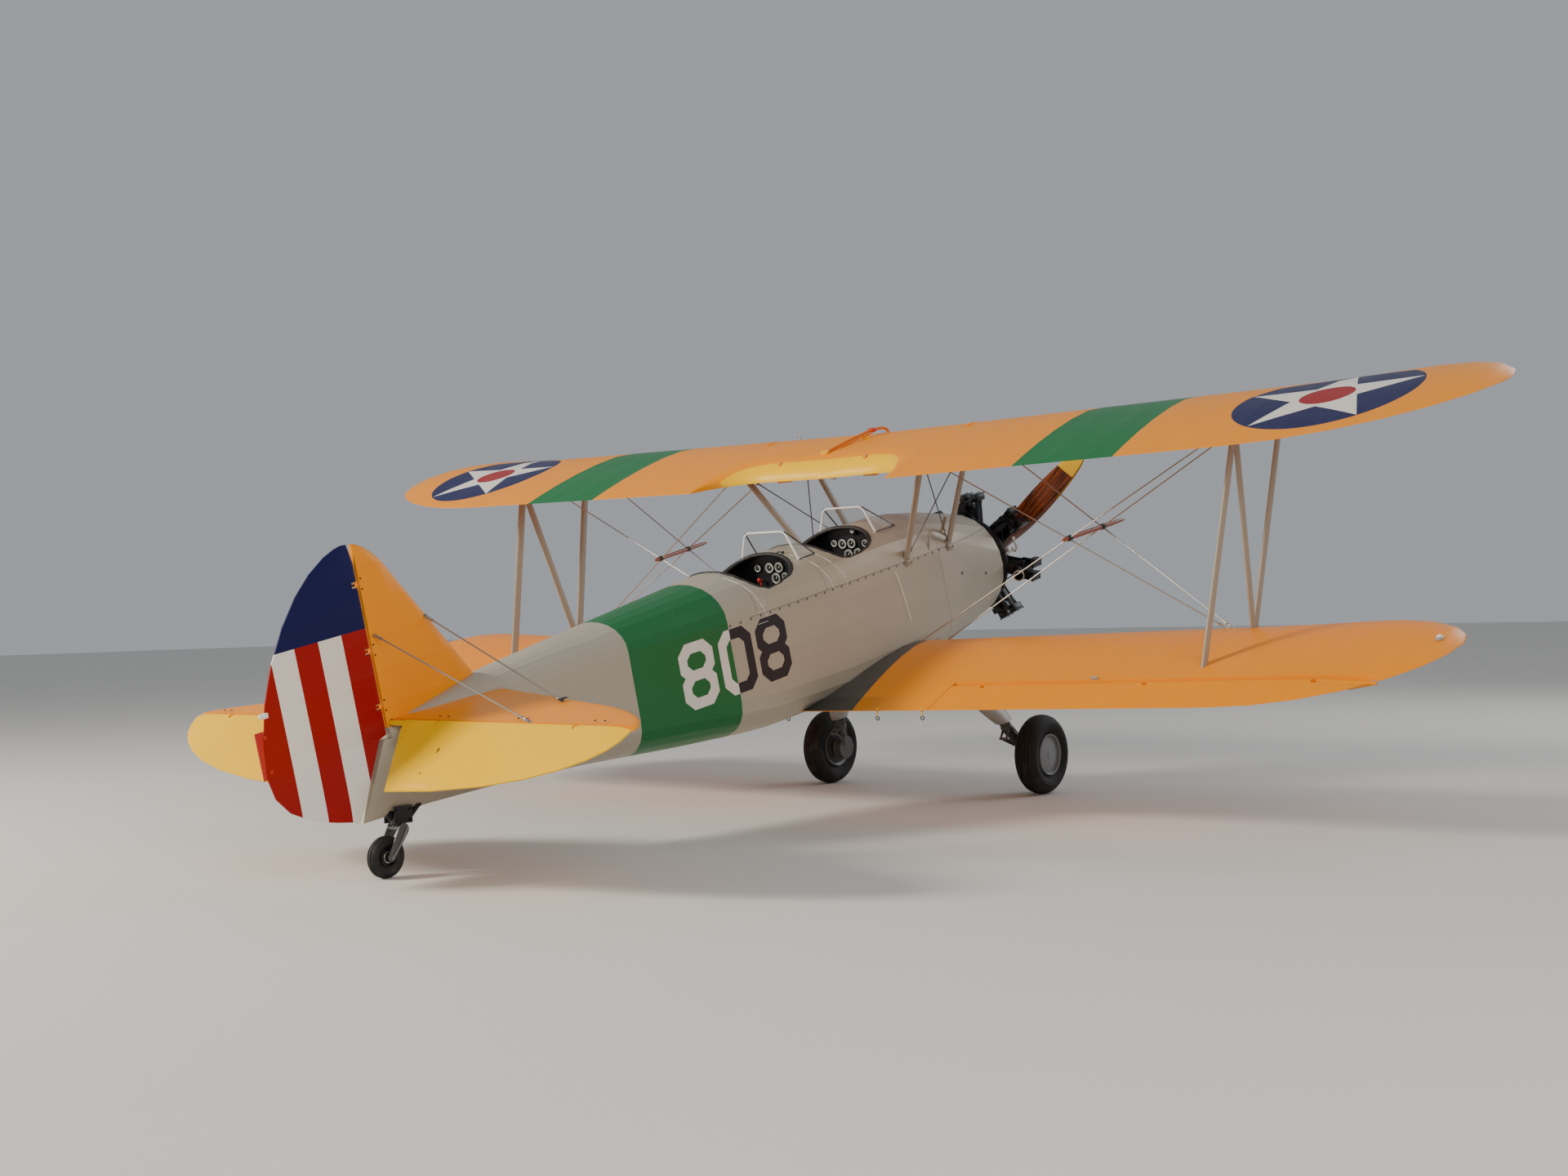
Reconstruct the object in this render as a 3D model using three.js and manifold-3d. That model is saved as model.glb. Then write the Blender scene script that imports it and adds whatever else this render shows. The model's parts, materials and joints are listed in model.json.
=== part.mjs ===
// A two-seat open-cockpit training biplane with a radial engine, parked on its tail wheel.
// Millimetres. The flight frame has +X forward, +Y to port and +Z up, with the propeller's
// face at X = 0. The whole aircraft is then pitched nose-up until its three wheels touch Z = 0.
import * as THREE from 'three';
import { mergeVertices } from 'three/addons/utils/BufferGeometryUtils.js';
import Module from 'manifold-3d';

const wasm = await Module();
wasm.setup();

const { cos, sin, sqrt, abs, min, max, PI, hypot, atan, asin } = Math;
const DEG = PI / 180;
const GAP = 0.3; // between pieces that touch
const RUN = 0.4; // between the faces of a hinge or a shaft

// Driving dimensions: thrust line, wheels
const THRUST_Z = -280;
const MAIN = { x: -1422, z: -1638, y: 1021, radius: 305, width: 186, bead: 158, bore: 20.6 };
const TAIL = { x: -6858, z: -637, radius: 120, width: 76, bead: 58, bore: 10.6 };
const PARK_ANGLE = atan((TAIL.z - MAIN.z) / (MAIN.x - TAIL.x))
  + asin((MAIN.radius - TAIL.radius) / hypot(MAIN.x - TAIL.x, MAIN.z - TAIL.z));

// Driving dimensions: wings. te = trailing edge on the centreline, tipAt = chord fraction of the tip
const CHORD = 1524;
const THICKNESS = 0.13;
const CAMBER = 0.02;
const CAMBER_AT = 0.2;
const UPPER = {
  te: [-2788, 757], incidence: 4.03, dihedral: 0.75, semi: 4900,
  tipFront: 700, tipRear: 1500, tipAt: 0.45, tipRise: 90,
};
const LOWER = {
  te: [-3389, -764], incidence: 2.99, dihedral: 1.46, semi: 4630,
  tipFront: 700, tipRear: 1250, tipAt: 0.38, tipRise: 70,
};
const CUTOUT = { depth: 425, flat: 500, corner: 400 };
const CENTRE_HALF = 930;
const SPAR = { front: 0.115, rear: 0.645 }; // chord fractions
const STRUT_FOOT_Y = 3147;
const STRUT_TOP_Y = 3275;
const AILERON = { inner: 1400, outer: 4300, hinge: 330, nose: 46, clear: 8 };

// Driving dimensions: tail
const RUDDER = { x: -6720, nose: 24, top: 1135, widest: 40, bottom: -400, chord: 785 };
const ELEVATOR = { x: -6655, z: 90, nose: 20, inner: 150, full: 450, semi: 1880, chord: 525, droop: 27 };
const TAIL_CLEAR = 8;
const STERN_GAP = 22;
const STERN = { top: [-6735, 30], bottom: [-6965, -400] };

// Fuselage stations: x, half width at the side seam, half width low on the side, height of the seam,
// height where the side turns under, crown, keel, squareness of the crown and of the belly
const STATIONS = [
  { x: -660, half: 440, low: 440, seam: -280, foot: -280, crown: 160, keel: -720, round: 2, square: 2 },
  { x: -1150, half: 448, low: 456, seam: -100, foot: -400, crown: 268, keel: -778, round: 2.05, square: 2.1 },
  { x: -1620, half: 441, low: 468, seam: 20, foot: -520, crown: 337, keel: -815, round: 2.05, square: 2.3 },
  { x: -2150, half: 442, low: 476, seam: 35, foot: -560, crown: 345, keel: -835, round: 2.05, square: 2.5 },
  { x: -2900, half: 436, low: 468, seam: 35, foot: -560, crown: 337, keel: -838, round: 2.05, square: 2.5 },
  { x: -3700, half: 405, low: 424, seam: 40, foot: -530, crown: 336, keel: -810, round: 2.05, square: 2.5 },
  { x: -4500, half: 332, low: 338, seam: 60, foot: -430, crown: 293, keel: -705, round: 2.1, square: 2.4 },
  { x: -5300, half: 245, low: 248, seam: 75, foot: -330, crown: 248, keel: -578, round: 2.1, square: 2.3 },
  { x: -6000, half: 158, low: 158, seam: 75, foot: -280, crown: 205, keel: -486, round: 2.1, square: 2.2 },
  { x: -6500, half: 78, low: 78, seam: 50, foot: -270, crown: 120, keel: -438, round: 2.1, square: 2.1 },
  { x: -6760, half: 36, low: 36, seam: 10, foot: -270, crown: 55, keel: -420, round: 2, square: 2 },
  { x: -7000, half: 26, low: 26, seam: -100, foot: -290, crown: -60, keel: -405, round: 2, square: 2 },
];
const FIREWALL_X = -1560;
const COCKPITS_END_X = -3830;
const DECK_Z = 30; // the deck round the cockpits comes off along this line
const WALL = 18;
const FLOOR_Z = -600;
const COCKPITS = [
  { name: 'front', from: -2150, to: -2805, half: [335, 390], panelX: -2085, seatX: -2700, screen: 270 },
  { name: 'rear', from: -3120, to: -3750, half: [330, 372], panelX: -3050, seatX: -3645, screen: 200 },
];

// Driving dimensions: engine and propeller
const ENGINE = { x: -330, cylinders: 7, radius: 548, caseRadius: 205, barrel: 74 };
const PROP = { x: -70, angle: 39.1 };

// Colours
const PAINT = {
  yellow: ['#f2a11c', 0.45, 0], brightYellow: ['#f6c21a', 0.45, 0], silver: ['#b9b5aa', 0.5, 0.1],
  strut: ['#a99d88', 0.5, 0.1], black: ['#17181a', 0.55, 0.2], rubber: ['#1b1a19', 0.9, 0],
  rim: ['#8d9093', 0.45, 0.4], wood: ['#6d3418', 0.35, 0], steel: ['#8a8c8e', 0.35, 0.8],
  glass: ['#c9d4d6', 0.05, 0], white: ['#e6e5df', 0.5, 0], leather: ['#141312', 0.7, 0],
  rudder: ['#a82a26', 0.45, 0], grey: ['#6b6b68', 0.6, 0.1],
};

const vec = (x, y, z) => new THREE.Vector3(x, y, z);
const lerp = THREE.MathUtils.lerp;

// Solids and meshes
const solidOf = (geometry) => {
  const bare = geometry.clone();
  bare.deleteAttribute('normal');
  bare.deleteAttribute('uv');
  const merged = mergeVertices(bare, 1e-3);
  const mesh = { numProp: 3, vertProperties: new Float32Array(merged.attributes.position.array) };
  const index = [];
  for (let i = 0; i < merged.index.count; i += 3) {
    const [a, b, c] = [0, 1, 2].map((k) => merged.index.getX(i + k));
    if (a !== b && b !== c && c !== a) index.push(a, b, c);
  }
  const inside = signedVolume(mesh.vertProperties, index) < 0;
  mesh.triVerts = new Uint32Array(inside ? index.reverse() : index);
  return new wasm.Manifold(new wasm.Mesh(mesh));
};
const signedVolume = (points, index) => {
  const corner = (i) => vec(...points.slice(3 * i, 3 * i + 3));
  let sum = 0;
  for (let i = 0; i < index.length; i += 3) {
    const [a, b, c] = [index[i], index[i + 1], index[i + 2]].map(corner);
    sum += a.dot(b.cross(c));
  }
  return sum;
};
const join = (solids) => solids.reduce((whole, next) => whole.add(next));
const cut = (solid, ...tools) => tools.reduce((rest, tool) => rest.subtract(tool), solid);
const geometryOf = (solid) => {
  const { vertProperties, triVerts } = solid.getMesh();
  const geometry = new THREE.BufferGeometry();
  geometry.setAttribute('position', new THREE.BufferAttribute(vertProperties, 3));
  geometry.setIndex(new THREE.BufferAttribute(triVerts, 1));
  return geometry;
};
const placed = (solid, matrix) => solidOf(geometryOf(solid).applyMatrix4(matrix));
const largest = (solid) => solid.decompose().reduce((a, b) => (a.volume() > b.volume() ? a : b));

const aircraft = new THREE.Group();
const addMesh = (name, solid, paint, parent = aircraft) => {
  const geometry = geometryOf(solid);
  geometry.computeVertexNormals();
  const [color, roughness, metalness] = PAINT[paint];
  const mesh = new THREE.Mesh(geometry, new THREE.MeshStandardMaterial({ color, roughness, metalness }));
  mesh.name = name;
  parent.add(mesh);
  return mesh;
};

// A closed skin through rings of points, all with the same count
const loft = (rings, closedLoop = false) => {
  const count = rings[0].length;
  const points = rings.flat();
  const index = [];
  const spans = closedLoop ? rings.length : rings.length - 1;
  for (let r = 0; r < spans; r += 1) {
    const [near, far] = [r * count, ((r + 1) % rings.length) * count];
    for (let k = 0; k < count; k += 1) {
      const next = (k + 1) % count;
      index.push(near + k, near + next, far + next, near + k, far + next, far + k);
    }
  }
  const ends = closedLoop ? [] : [[0, 1], [rings.length - 1, -1]];
  for (const [r, turn] of ends) {
    const centre = rings[r].reduce((sum, p) => sum.add(p), vec(0, 0, 0)).divideScalar(count);
    points.push(centre);
    for (let k = 0; k < count; k += 1) {
      const [a, b] = [r * count + k, r * count + ((k + 1) % count)];
      index.push(...(turn > 0 ? [points.length - 1, b, a] : [points.length - 1, a, b]));
    }
  }
  const geometry = new THREE.BufferGeometry().setFromPoints(points);
  geometry.setIndex(index);
  return solidOf(geometry);
};

// A bar of elliptical section between two points, its long side along the flight direction
const bar = (a, b, long, thick, sides = 10) => {
  const axis = b.clone().sub(a).normalize();
  const ahead = abs(axis.x) > 0.95 ? vec(0, 1, 0) : vec(1, 0, 0);
  const chordwise = ahead.addScaledVector(axis, -ahead.dot(axis)).normalize();
  const across = axis.clone().cross(chordwise);
  const ring = (centre) => Array.from({ length: sides }, (_, k) => {
    const turn = (2 * PI * (k + 0.5)) / sides;
    return centre.clone()
      .addScaledVector(chordwise, (cos(turn) * long) / 2)
      .addScaledVector(across, (sin(turn) * thick) / 2);
  });
  return loft([ring(a), ring(b)]);
};
const rod = (a, b, diameter, sides = 8) => bar(a, b, diameter, diameter, sides);
const block = (low, high) => {
  const size = high.map((v, i) => v - low[i]);
  const geometry = new THREE.BoxGeometry(...size);
  geometry.translate(...low.map((v, i) => v + size[i] / 2));
  return solidOf(geometry);
};
// A flat pane, given its corners and its thickness
const pane = (corners, thickness) => {
  const normal = corners[1].clone().sub(corners[0]).cross(corners[2].clone().sub(corners[0])).normalize();
  const side = (shift) => corners.map((p) => p.clone().addScaledVector(normal, shift));
  return loft([side(-thickness / 2), side(thickness / 2)]);
};
// A turned piece on an axle along +X or +Y: profile of [along, radius] pairs
const turned = (profile, segments, axis, centre) => {
  const geometry = new THREE.LatheGeometry(profile.map(([along, r]) => new THREE.Vector2(r, along)), segments);
  if (axis === 'x') geometry.rotateZ(-PI / 2);
  geometry.translate(...centre);
  return solidOf(geometry);
};

// Fuselage
const stationAt = (x) => {
  const last = STATIONS.length - 2;
  let i = STATIONS.findIndex((s, k) => k < STATIONS.length - 1 && x >= STATIONS[k + 1].x);
  i = i < 0 ? last : i;
  const [a, b] = [STATIONS[i], STATIONS[i + 1]];
  const before = STATIONS[max(i - 1, 0)];
  const after = STATIONS[min(i + 2, STATIONS.length - 1)];
  const t = (x - a.x) / (b.x - a.x);
  const smooth = (key) => {
    const span = b.x - a.x;
    const startSlope = ((b[key] - before[key]) / (b.x - before.x)) * span;
    const endSlope = ((after[key] - a[key]) / (after.x - a.x)) * span;
    const [t2, t3] = [t * t, t * t * t];
    return (2 * t3 - 3 * t2 + 1) * a[key] + (t3 - 2 * t2 + t) * startSlope
      + (3 * t2 - 2 * t3) * b[key] + (t3 - t2) * endSlope;
  };
  return Object.fromEntries(['half', 'low', 'seam', 'foot', 'crown', 'keel', 'round', 'square'].map((k) => [k, smooth(k)]));
};
const CROWN_STEPS = 12;
const fuselageRing = (x, grow) => {
  const s = stationAt(x);
  const corner = (angle, half, base, height, squareness) => {
    const [c, n] = [cos(angle), sin(angle)];
    const power = 2 / squareness;
    return vec(x, (half + grow) * Math.sign(c) * abs(c) ** power, base + height * abs(n) ** power);
  };
  const arc = Array.from({ length: CROWN_STEPS + 1 }, (_, k) => (PI * k) / CROWN_STEPS);
  const crown = arc.map((a) => corner(a, s.half, s.seam, s.crown + grow - s.seam, s.round));
  const keel = arc.map((a) => corner(PI - a, s.low, s.foot, s.keel - grow - s.foot, s.square));
  if (s.seam - s.foot < 1) keel.forEach((p) => { p.z -= 1; });
  return [...crown, ...keel];
};
const RING_PLACES = [...STATIONS.map((s) => s.x), FIREWALL_X, COCKPITS_END_X].sort((a, b) => b - a);
const fuselageSolid = (from, to, grow) => {
  const inner = RING_PLACES.filter((x) => x < from - 1 && x > to + 1);
  return loft([from, ...inner, to].map((x) => fuselageRing(x, grow)));
};
const crownAt = (x, y) => {
  const s = stationAt(x);
  const ratio = min(abs(y) / s.half, 1);
  return s.seam + (s.crown - s.seam) * (1 - ratio ** s.round) ** (1 / s.round);
};
const fuselageEnvelope = fuselageSolid(-660, -7000, GAP);

const noseCowl = fuselageSolid(-660, FIREWALL_X + GAP / 2, 0);
const sternCut = loft([-200, 200].map((y) => [
  vec(STERN.top[0], y, STERN.top[1]), vec(STERN.bottom[0], y, STERN.bottom[1]),
  vec(STERN.bottom[0] - 60, y, STERN.bottom[1] - 100), vec(-7200, y, -500), vec(-7200, y, 300),
  vec(STERN.top[0], y, 300),
]));
const rudderPostCut = block([-7200, -200, STERN.top[1] - 18], [RUDDER.x + RUDDER.nose + TAIL_CLEAR, 200, 400]);
const torqueTubeHole = turned([[-200, 0], [-200, 24], [200, 24], [200, 0]], 16, 'y', [ELEVATOR.x, 0, ELEVATOR.z]);
const rearFuselage = cut(fuselageSolid(COCKPITS_END_X - GAP / 2, -7000, 0), sternCut, rudderPostCut, torqueTubeHole);

// Cockpit openings are rounded oblongs that widen towards the back
const openingRing = ({ from, to, half }, grow, heightOf, count = 24) => {
  const [middle, reach] = [(from + to) / 2, (from - to) / 2 + grow];
  return Array.from({ length: count }, (_, k) => {
    const turn = (2 * PI * k) / count;
    const soft = (v) => Math.sign(v) * abs(v) ** 0.62;
    const x = middle + reach * soft(cos(turn));
    const y = (lerp(...half, (from - x) / (from - to)) + grow) * soft(sin(turn));
    return vec(x, y, heightOf(x, y));
  });
};
const COAMING_R = 15;
const cavity = fuselageSolid(FIREWALL_X - 60, COCKPITS_END_X + 40, -WALL)
  .intersect(block([-4000, -600, FLOOR_Z], [-1000, 600, 600]));
const openings = COCKPITS.map((c) => loft([
  openingRing(c, COAMING_R + GAP, () => -60), openingRing(c, COAMING_R + GAP, () => 600),
]));
const cockpitShell = cut(fuselageSolid(FIREWALL_X - GAP / 2, COCKPITS_END_X + GAP / 2, 0), cavity);
const cockpitHull = cockpitShell.intersect(block([-4000, -600, -1000], [-1000, 600, DECK_Z - GAP / 2]));
const cockpitDeck = cut(cockpitShell.intersect(block([-4000, -600, DECK_Z + GAP / 2], [-1000, 600, 600])), ...openings);

const ringTube = (path, radius, sides = 6) => {
  const rings = path.map((p, k) => {
    const ahead = path[(k + 1) % path.length].clone().sub(path.at(k - 1)).normalize();
    const across = ahead.clone().cross(vec(0, 0, 1)).normalize();
    const up = across.clone().cross(ahead);
    return Array.from({ length: sides }, (_, j) => p.clone()
      .addScaledVector(across, radius * cos((2 * PI * j) / sides))
      .addScaledVector(up, radius * sin((2 * PI * j) / sides)));
  });
  return loft(rings, true);
};

// Wings
const airfoil = (u) => {
  const half = (THICKNESS / 0.2) * (0.2969 * sqrt(u) - 0.126 * u - 0.3516 * u ** 2 + 0.2843 * u ** 3 - 0.1015 * u ** 4);
  const ahead = u < CAMBER_AT;
  const mean = ahead
    ? (CAMBER / CAMBER_AT ** 2) * (2 * CAMBER_AT * u - u * u)
    : (CAMBER / (1 - CAMBER_AT) ** 2) * (1 - 2 * CAMBER_AT + 2 * CAMBER_AT * u - u * u);
  return [mean + half, mean - half];
};
const cutoutAt = (span) => {
  const t = (abs(span) - CUTOUT.flat) / CUTOUT.corner;
  return t <= 0 ? 1 : sqrt(max(1 - t * t, 0));
};
const edgesAt = (wing, span) => {
  const round = (length) => sqrt(max(1 - (max(span - (wing.semi - length), 0) / length) ** 2, 0.0004));
  return [wing.tipAt * (1 - round(wing.tipFront)), wing.tipAt + (1 - wing.tipAt) * round(wing.tipRear)];
};
const AIRFOIL_STEPS = 9;
// One wing section in the panel's own frame: x ahead of the trailing edge, y out along the span
const wingRing = (wing, side, span, withCutout) => {
  const [front, back] = edgesAt(wing, abs(span));
  const notch = withCutout ? cutoutAt(span) : 0;
  const rear = back - (CUTOUT.depth / CHORD) * notch;
  const scale = (rear - front) / (withCutout ? 1 - (CUTOUT.depth / CHORD) * notch : 1);
  const rise = wing.tipRise * (max(abs(span) - (wing.semi - wing.tipRear), 0) / wing.tipRear) ** 2;
  const blunt = (s) => lerp(1, sqrt(max(1 - (max(s - 0.84, 0) / 0.16) ** 2, 0)), notch);
  const point = (s, upper) => {
    const u = front + s * (rear - front);
    const [top, bottom] = airfoil(withCutout ? u : s);
    const z = upper ? bottom + (top - bottom) * blunt(s) : bottom;
    return vec(CHORD * (1 - u), side * span, rise + z * scale * CHORD);
  };
  const steps = Array.from({ length: AIRFOIL_STEPS + 1 }, (_, k) => (1 - cos((PI * k) / AIRFOIL_STEPS)) / 2);
  const over = steps.toReversed().map((s) => point(s, true));
  const under = steps.slice(1).map((s) => point(s, false));
  if (notch > 0.99) over[0].z += 2;
  return [...over, ...under];
};
const wingMatrix = (wing, side, lift = 0) => new THREE.Matrix4()
  .makeTranslation(wing.te[0], 0, wing.te[1] + lift)
  .multiply(new THREE.Matrix4().makeRotationX(side * wing.dihedral * DEG))
  .multiply(new THREE.Matrix4().makeRotationY(-wing.incidence * DEG));
const tipSpans = (wing, from) => {
  const start = wing.semi - wing.tipRear;
  const curve = Array.from({ length: 7 }, (_, k) => start + wing.tipRear * sin((k + 1) * 0.5 * PI / 7));
  return [from, start, ...curve.slice(0, -1), wing.semi - 1];
};
const wingPanel = (wing, side, spans, { lift = 0, withCutout = false, frame = true } = {}) => {
  const matrix = wingMatrix(wing, side, lift);
  const place = (p) => (frame ? p.applyMatrix4(matrix) : p);
  return loft(spans.map((span) => wingRing(wing, side, span, withCutout).map(place)));
};
// A point on or near a wing in the flight frame, from its span, chord fraction and height over the chord line
const wingPoint = (wing, side, span, fraction, height = 0) =>
  vec(CHORD * (1 - fraction), side * span, height).applyMatrix4(wingMatrix(wing, side));

const centreSpans = [0, 300, 500, 620, 720, 790, 840, 875, 895, 900.5, CENTRE_HALF - GAP / 2];
const upperCentre = join([1, -1].map((side) => wingPanel(UPPER, side, centreSpans, { withCutout: true })));

// Hinge fittings about an axis: two fixed discs with a moving disc between them
const HINGE = { disc: 14, moving: 6, plate: 5, room: 18 };
const hingeFitting = (centre, along, reach, behind) => {
  const basis = new THREE.Matrix4().makeBasis(vec(1, 0, 0), along.clone().cross(vec(1, 0, 0)), along).setPosition(centre);
  const disc = (low, high, radius) => {
    const geometry = new THREE.CylinderGeometry(radius, radius, high - low, 10);
    geometry.rotateX(PI / 2);
    geometry.translate(0, 0, (low + high) / 2);
    geometry.applyMatrix4(basis);
    return solidOf(geometry);
  };
  const slab = (low, high) => {
    const geometry = new THREE.BoxGeometry(...high.map((v, i) => v - low[i]));
    geometry.translate(...high.map((v, i) => (v + low[i]) / 2));
    geometry.applyMatrix4(basis);
    return solidOf(geometry);
  };
  const inner = HINGE.moving + RUN;
  const outer = inner + HINGE.plate;
  const fixed = join([[inner, outer], [-outer, -inner]].flatMap(([low, high]) => [
    disc(low, high, HINGE.disc), slab([0, -HINGE.disc * 0.7, low], [reach, HINGE.disc * 0.7, high]),
  ]));
  const moving = join([
    disc(-HINGE.moving, HINGE.moving, HINGE.disc),
    slab([-behind, -HINGE.disc * 0.6, -HINGE.moving], [0, HINGE.disc * 0.6, HINGE.moving]),
  ]);
  return { fixed, moving, slot: disc(-HINGE.room, HINGE.room, behind - 12) };
};

// Ailerons, in the lower wings only
const lowerSpans = [100, AILERON.inner - 40, ...tipSpans(LOWER, 2400)];
const aileronParts = (side) => {
  const matrix = wingMatrix(LOWER, side);
  const along = vec(0, side, 0).transformDirection(matrix);
  const mid = (() => {
    const [top, bottom] = airfoil(1 - AILERON.hinge / CHORD);
    return ((top + bottom) / 2) * CHORD;
  })();
  const hinge = (span) => vec(AILERON.hinge, side * span, mid).applyMatrix4(matrix);
  const boxed = (x0, x1, y0, y1) => {
    const geometry = new THREE.BoxGeometry(x1 - x0, y1 - y0, 400);
    geometry.translate((x0 + x1) / 2, (side * (y0 + y1)) / 2, 100);
    geometry.applyMatrix4(matrix);
    return solidOf(geometry);
  };
  const { inner, outer, nose, clear } = AILERON;
  const whole = wingPanel(LOWER, side, lowerSpans);
  const bay = boxed(-50, AILERON.hinge + nose + clear, inner - clear, outer + clear);
  const flap = whole.intersect(boxed(-50, AILERON.hinge, inner, outer));
  const noseBar = rod(hinge(inner), hinge(outer), 2 * nose, 16);
  const fittings = [inner + 250, (inner + outer) / 2, outer - 350]
    .map((span) => hingeFitting(hinge(span), along, nose + clear + 12, nose + 20));
  const slots = fittings.map((f) => f.slot);
  const aileron = join([cut(join([flap, noseBar]), ...slots), ...fittings.map((f) => f.moving)]);
  const wing = join([cut(whole, bay, fuselageEnvelope), ...fittings.map((f) => f.fixed)]);
  return { aileron, wing };
};

// Tail surfaces: rings of [along chord, half thickness], placed by a function
const fixedProfile = (front, rear, half) => {
  const steps = [0.02, 0.12, 0.4, 1];
  const edge = steps.map((s) => [lerp(front, rear, s), half * sqrt(1 - (1 - min(s * 1.6, 1)) ** 2)]);
  return [[front, 0], ...edge, ...edge.toReversed().map(([x, h]) => [x, -h])];
};
const movingProfile = (axis, rear, nose, tailHalf, frontLimit = axis + nose) => {
  const taper = (x) => lerp(nose, tailHalf, min(max((axis - x) / (axis - rear), 0), 1));
  const round = Array.from({ length: 9 }, (_, k) => {
    const turn = PI / 2 - (PI * k) / 8;
    const x = min(axis + nose * cos(turn), frontLimit);
    return [x, sin(turn) * taper(x)];
  });
  return [...round, [rear, -tailHalf], [rear, tailHalf]];
};
const finChord = (z) => {
  const straight = 690 - 0.655 * (z - 232);
  return straight * sqrt(max(1 - (max(z - 1000, 0) / 128) ** 2, 0.0009));
};
const finRear = RUDDER.x + RUDDER.nose + TAIL_CLEAR;
const finShape = (grow) => loft([-20, 300, 650, 1000, 1060, 1100, 1120, 1127].map((z) => {
  const chord = finChord(z);
  const half = (RUDDER.nose - 2) * min(1, chord / 120) + grow;
  return fixedProfile(finRear + chord + grow, finRear - grow, half).map(([x, y]) => vec(x, y, z));
}));
const rudderChord = (z) => {
  const above = z > RUDDER.widest;
  const ratio = above
    ? (z - RUDDER.widest) / (RUDDER.top - RUDDER.widest)
    : (RUDDER.widest - z) / (RUDDER.widest - RUDDER.bottom);
  const [power, root] = above ? [1.7, 0.6] : [2.4, 0.5];
  return RUDDER.chord * max(1 - min(ratio, 1) ** power, 0.0005) ** root;
};
const sternAt = (z) => lerp(STERN.top[0], STERN.bottom[0], (STERN.top[1] - z) / (STERN.top[1] - STERN.bottom[1]));
const RUDDER_LEVELS = [-396, -380, -345, -290, -200, -100, 20, 36, 200, 400, 600, 780, 920, 1020, 1090, 1120, 1131];
const rudderSolid = loft(RUDDER_LEVELS.map((z) => {
  const rear = RUDDER.x - max(rudderChord(z), z > 0 ? 12 : 300);
  const nose = RUDDER.nose * min(1, (RUDDER.top + 20 - z) / 110);
  const limit = z < STERN.top[1] ? sternAt(z) - STERN_GAP : undefined;
  return movingProfile(RUDDER.x, rear, nose, 4, limit).map(([x, y]) => vec(x, y, z));
}));
const rudderFittings = [200, 520, 900]
  .map((z) => hingeFitting(vec(RUDDER.x, 0, z), vec(0, 0, 1), RUDDER.nose + TAIL_CLEAR + 14, RUDDER.nose + 22));

const stabilizerRear = ELEVATOR.x + ELEVATOR.nose + TAIL_CLEAR;
const stabilizerChord = (span) => {
  const straight = 785 - 0.28 * span;
  return straight * sqrt(max(1 - (max(span - 1350, 0) / 530) ** 2, 0.0009)) - ELEVATOR.nose;
};
const stabilizerSolid = (side) => loft([0, 600, 1350, 1560, 1700, 1800, 1850, 1872].map((span) => {
  const chord = max(stabilizerChord(span), 12);
  const half = (ELEVATOR.nose - 1) * min(1, chord / 100 + 0.2);
  return fixedProfile(stabilizerRear + chord, stabilizerRear, half).map(([x, z]) => vec(x, side * span, ELEVATOR.z + z));
}));
const elevatorChord = (span) => {
  const oval = ELEVATOR.chord * sqrt(max(1 - (max(span - 300, 0) / 1578) ** 2, 0.0009));
  return min(oval, lerp(50, oval, min((span - ELEVATOR.inner) / (ELEVATOR.full - ELEVATOR.inner), 1)));
};
const droopMatrix = new THREE.Matrix4().makeTranslation(ELEVATOR.x, 0, ELEVATOR.z)
  .multiply(new THREE.Matrix4().makeRotationY(-ELEVATOR.droop * DEG))
  .multiply(new THREE.Matrix4().makeTranslation(-ELEVATOR.x, 0, -ELEVATOR.z));
const ELEVATOR_SPANS = [ELEVATOR.inner, ELEVATOR.full, 800, 1150, 1400, 1590, 1730, 1815, 1860, 1877];
const elevatorHalf = (side) => {
  const place = (p) => p.applyMatrix4(droopMatrix);
  const body = loft(ELEVATOR_SPANS.map((span) => {
    const nose = ELEVATOR.nose * min(1, (ELEVATOR.semi + 10 - span) / 90);
    const rear = ELEVATOR.x - max(elevatorChord(span), nose + 4);
    return movingProfile(ELEVATOR.x, rear, nose, 4).map(([x, z]) => place(vec(x, side * span, ELEVATOR.z + z)));
  }));
  const behind = ELEVATOR.nose + 20;
  const fittings = [420, 1500]
    .map((span) => hingeFitting(vec(ELEVATOR.x, side * span, ELEVATOR.z), vec(0, side, 0), ELEVATOR.nose + TAIL_CLEAR + 12, behind));
  return { body, fittings };
};

// Struts and wires
const upperSkins = [1, -1].flatMap((side) => [
  wingPanel(UPPER, side, centreSpans, { lift: -GAP, withCutout: true }),
  wingPanel(UPPER, side, [CENTRE_HALF - 1, 2400, UPPER.semi - UPPER.tipRear], { lift: -GAP }),
]);
const lowerSkins = (lift) => [1, -1].map((side) => wingPanel(LOWER, side, [0, 2400, LOWER.semi - LOWER.tipRear], { lift }));
const trimmed = (solid) => cut(solid, ...upperSkins, ...lowerSkins(GAP), fuselageEnvelope);

const strutEnds = (side) => ({
  frontTop: wingPoint(UPPER, side, STRUT_TOP_Y, SPAR.front, 30),
  rearTop: wingPoint(UPPER, side, STRUT_TOP_Y, SPAR.rear, 30),
  frontFoot: wingPoint(LOWER, side, STRUT_FOOT_Y, SPAR.front, 40),
  rearFoot: wingPoint(LOWER, side, STRUT_FOOT_Y, SPAR.rear, 50),
});
const CABANES = [
  { name: 'front', foot: [-1395, 430, 45], topY: 793, fraction: 0.111 },
  { name: 'rear', foot: [-1990, 430, 45], topY: 854, fraction: 0.622 },
];
const CABANE_SUNK = -0.08; // how far a cabane strut's foot runs on into the fuselage, of its length
const WIRE = { long: 9, thick: 6, stick: 34, stickThick: 22, stickFront: 280, stickRear: 80 };
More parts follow.
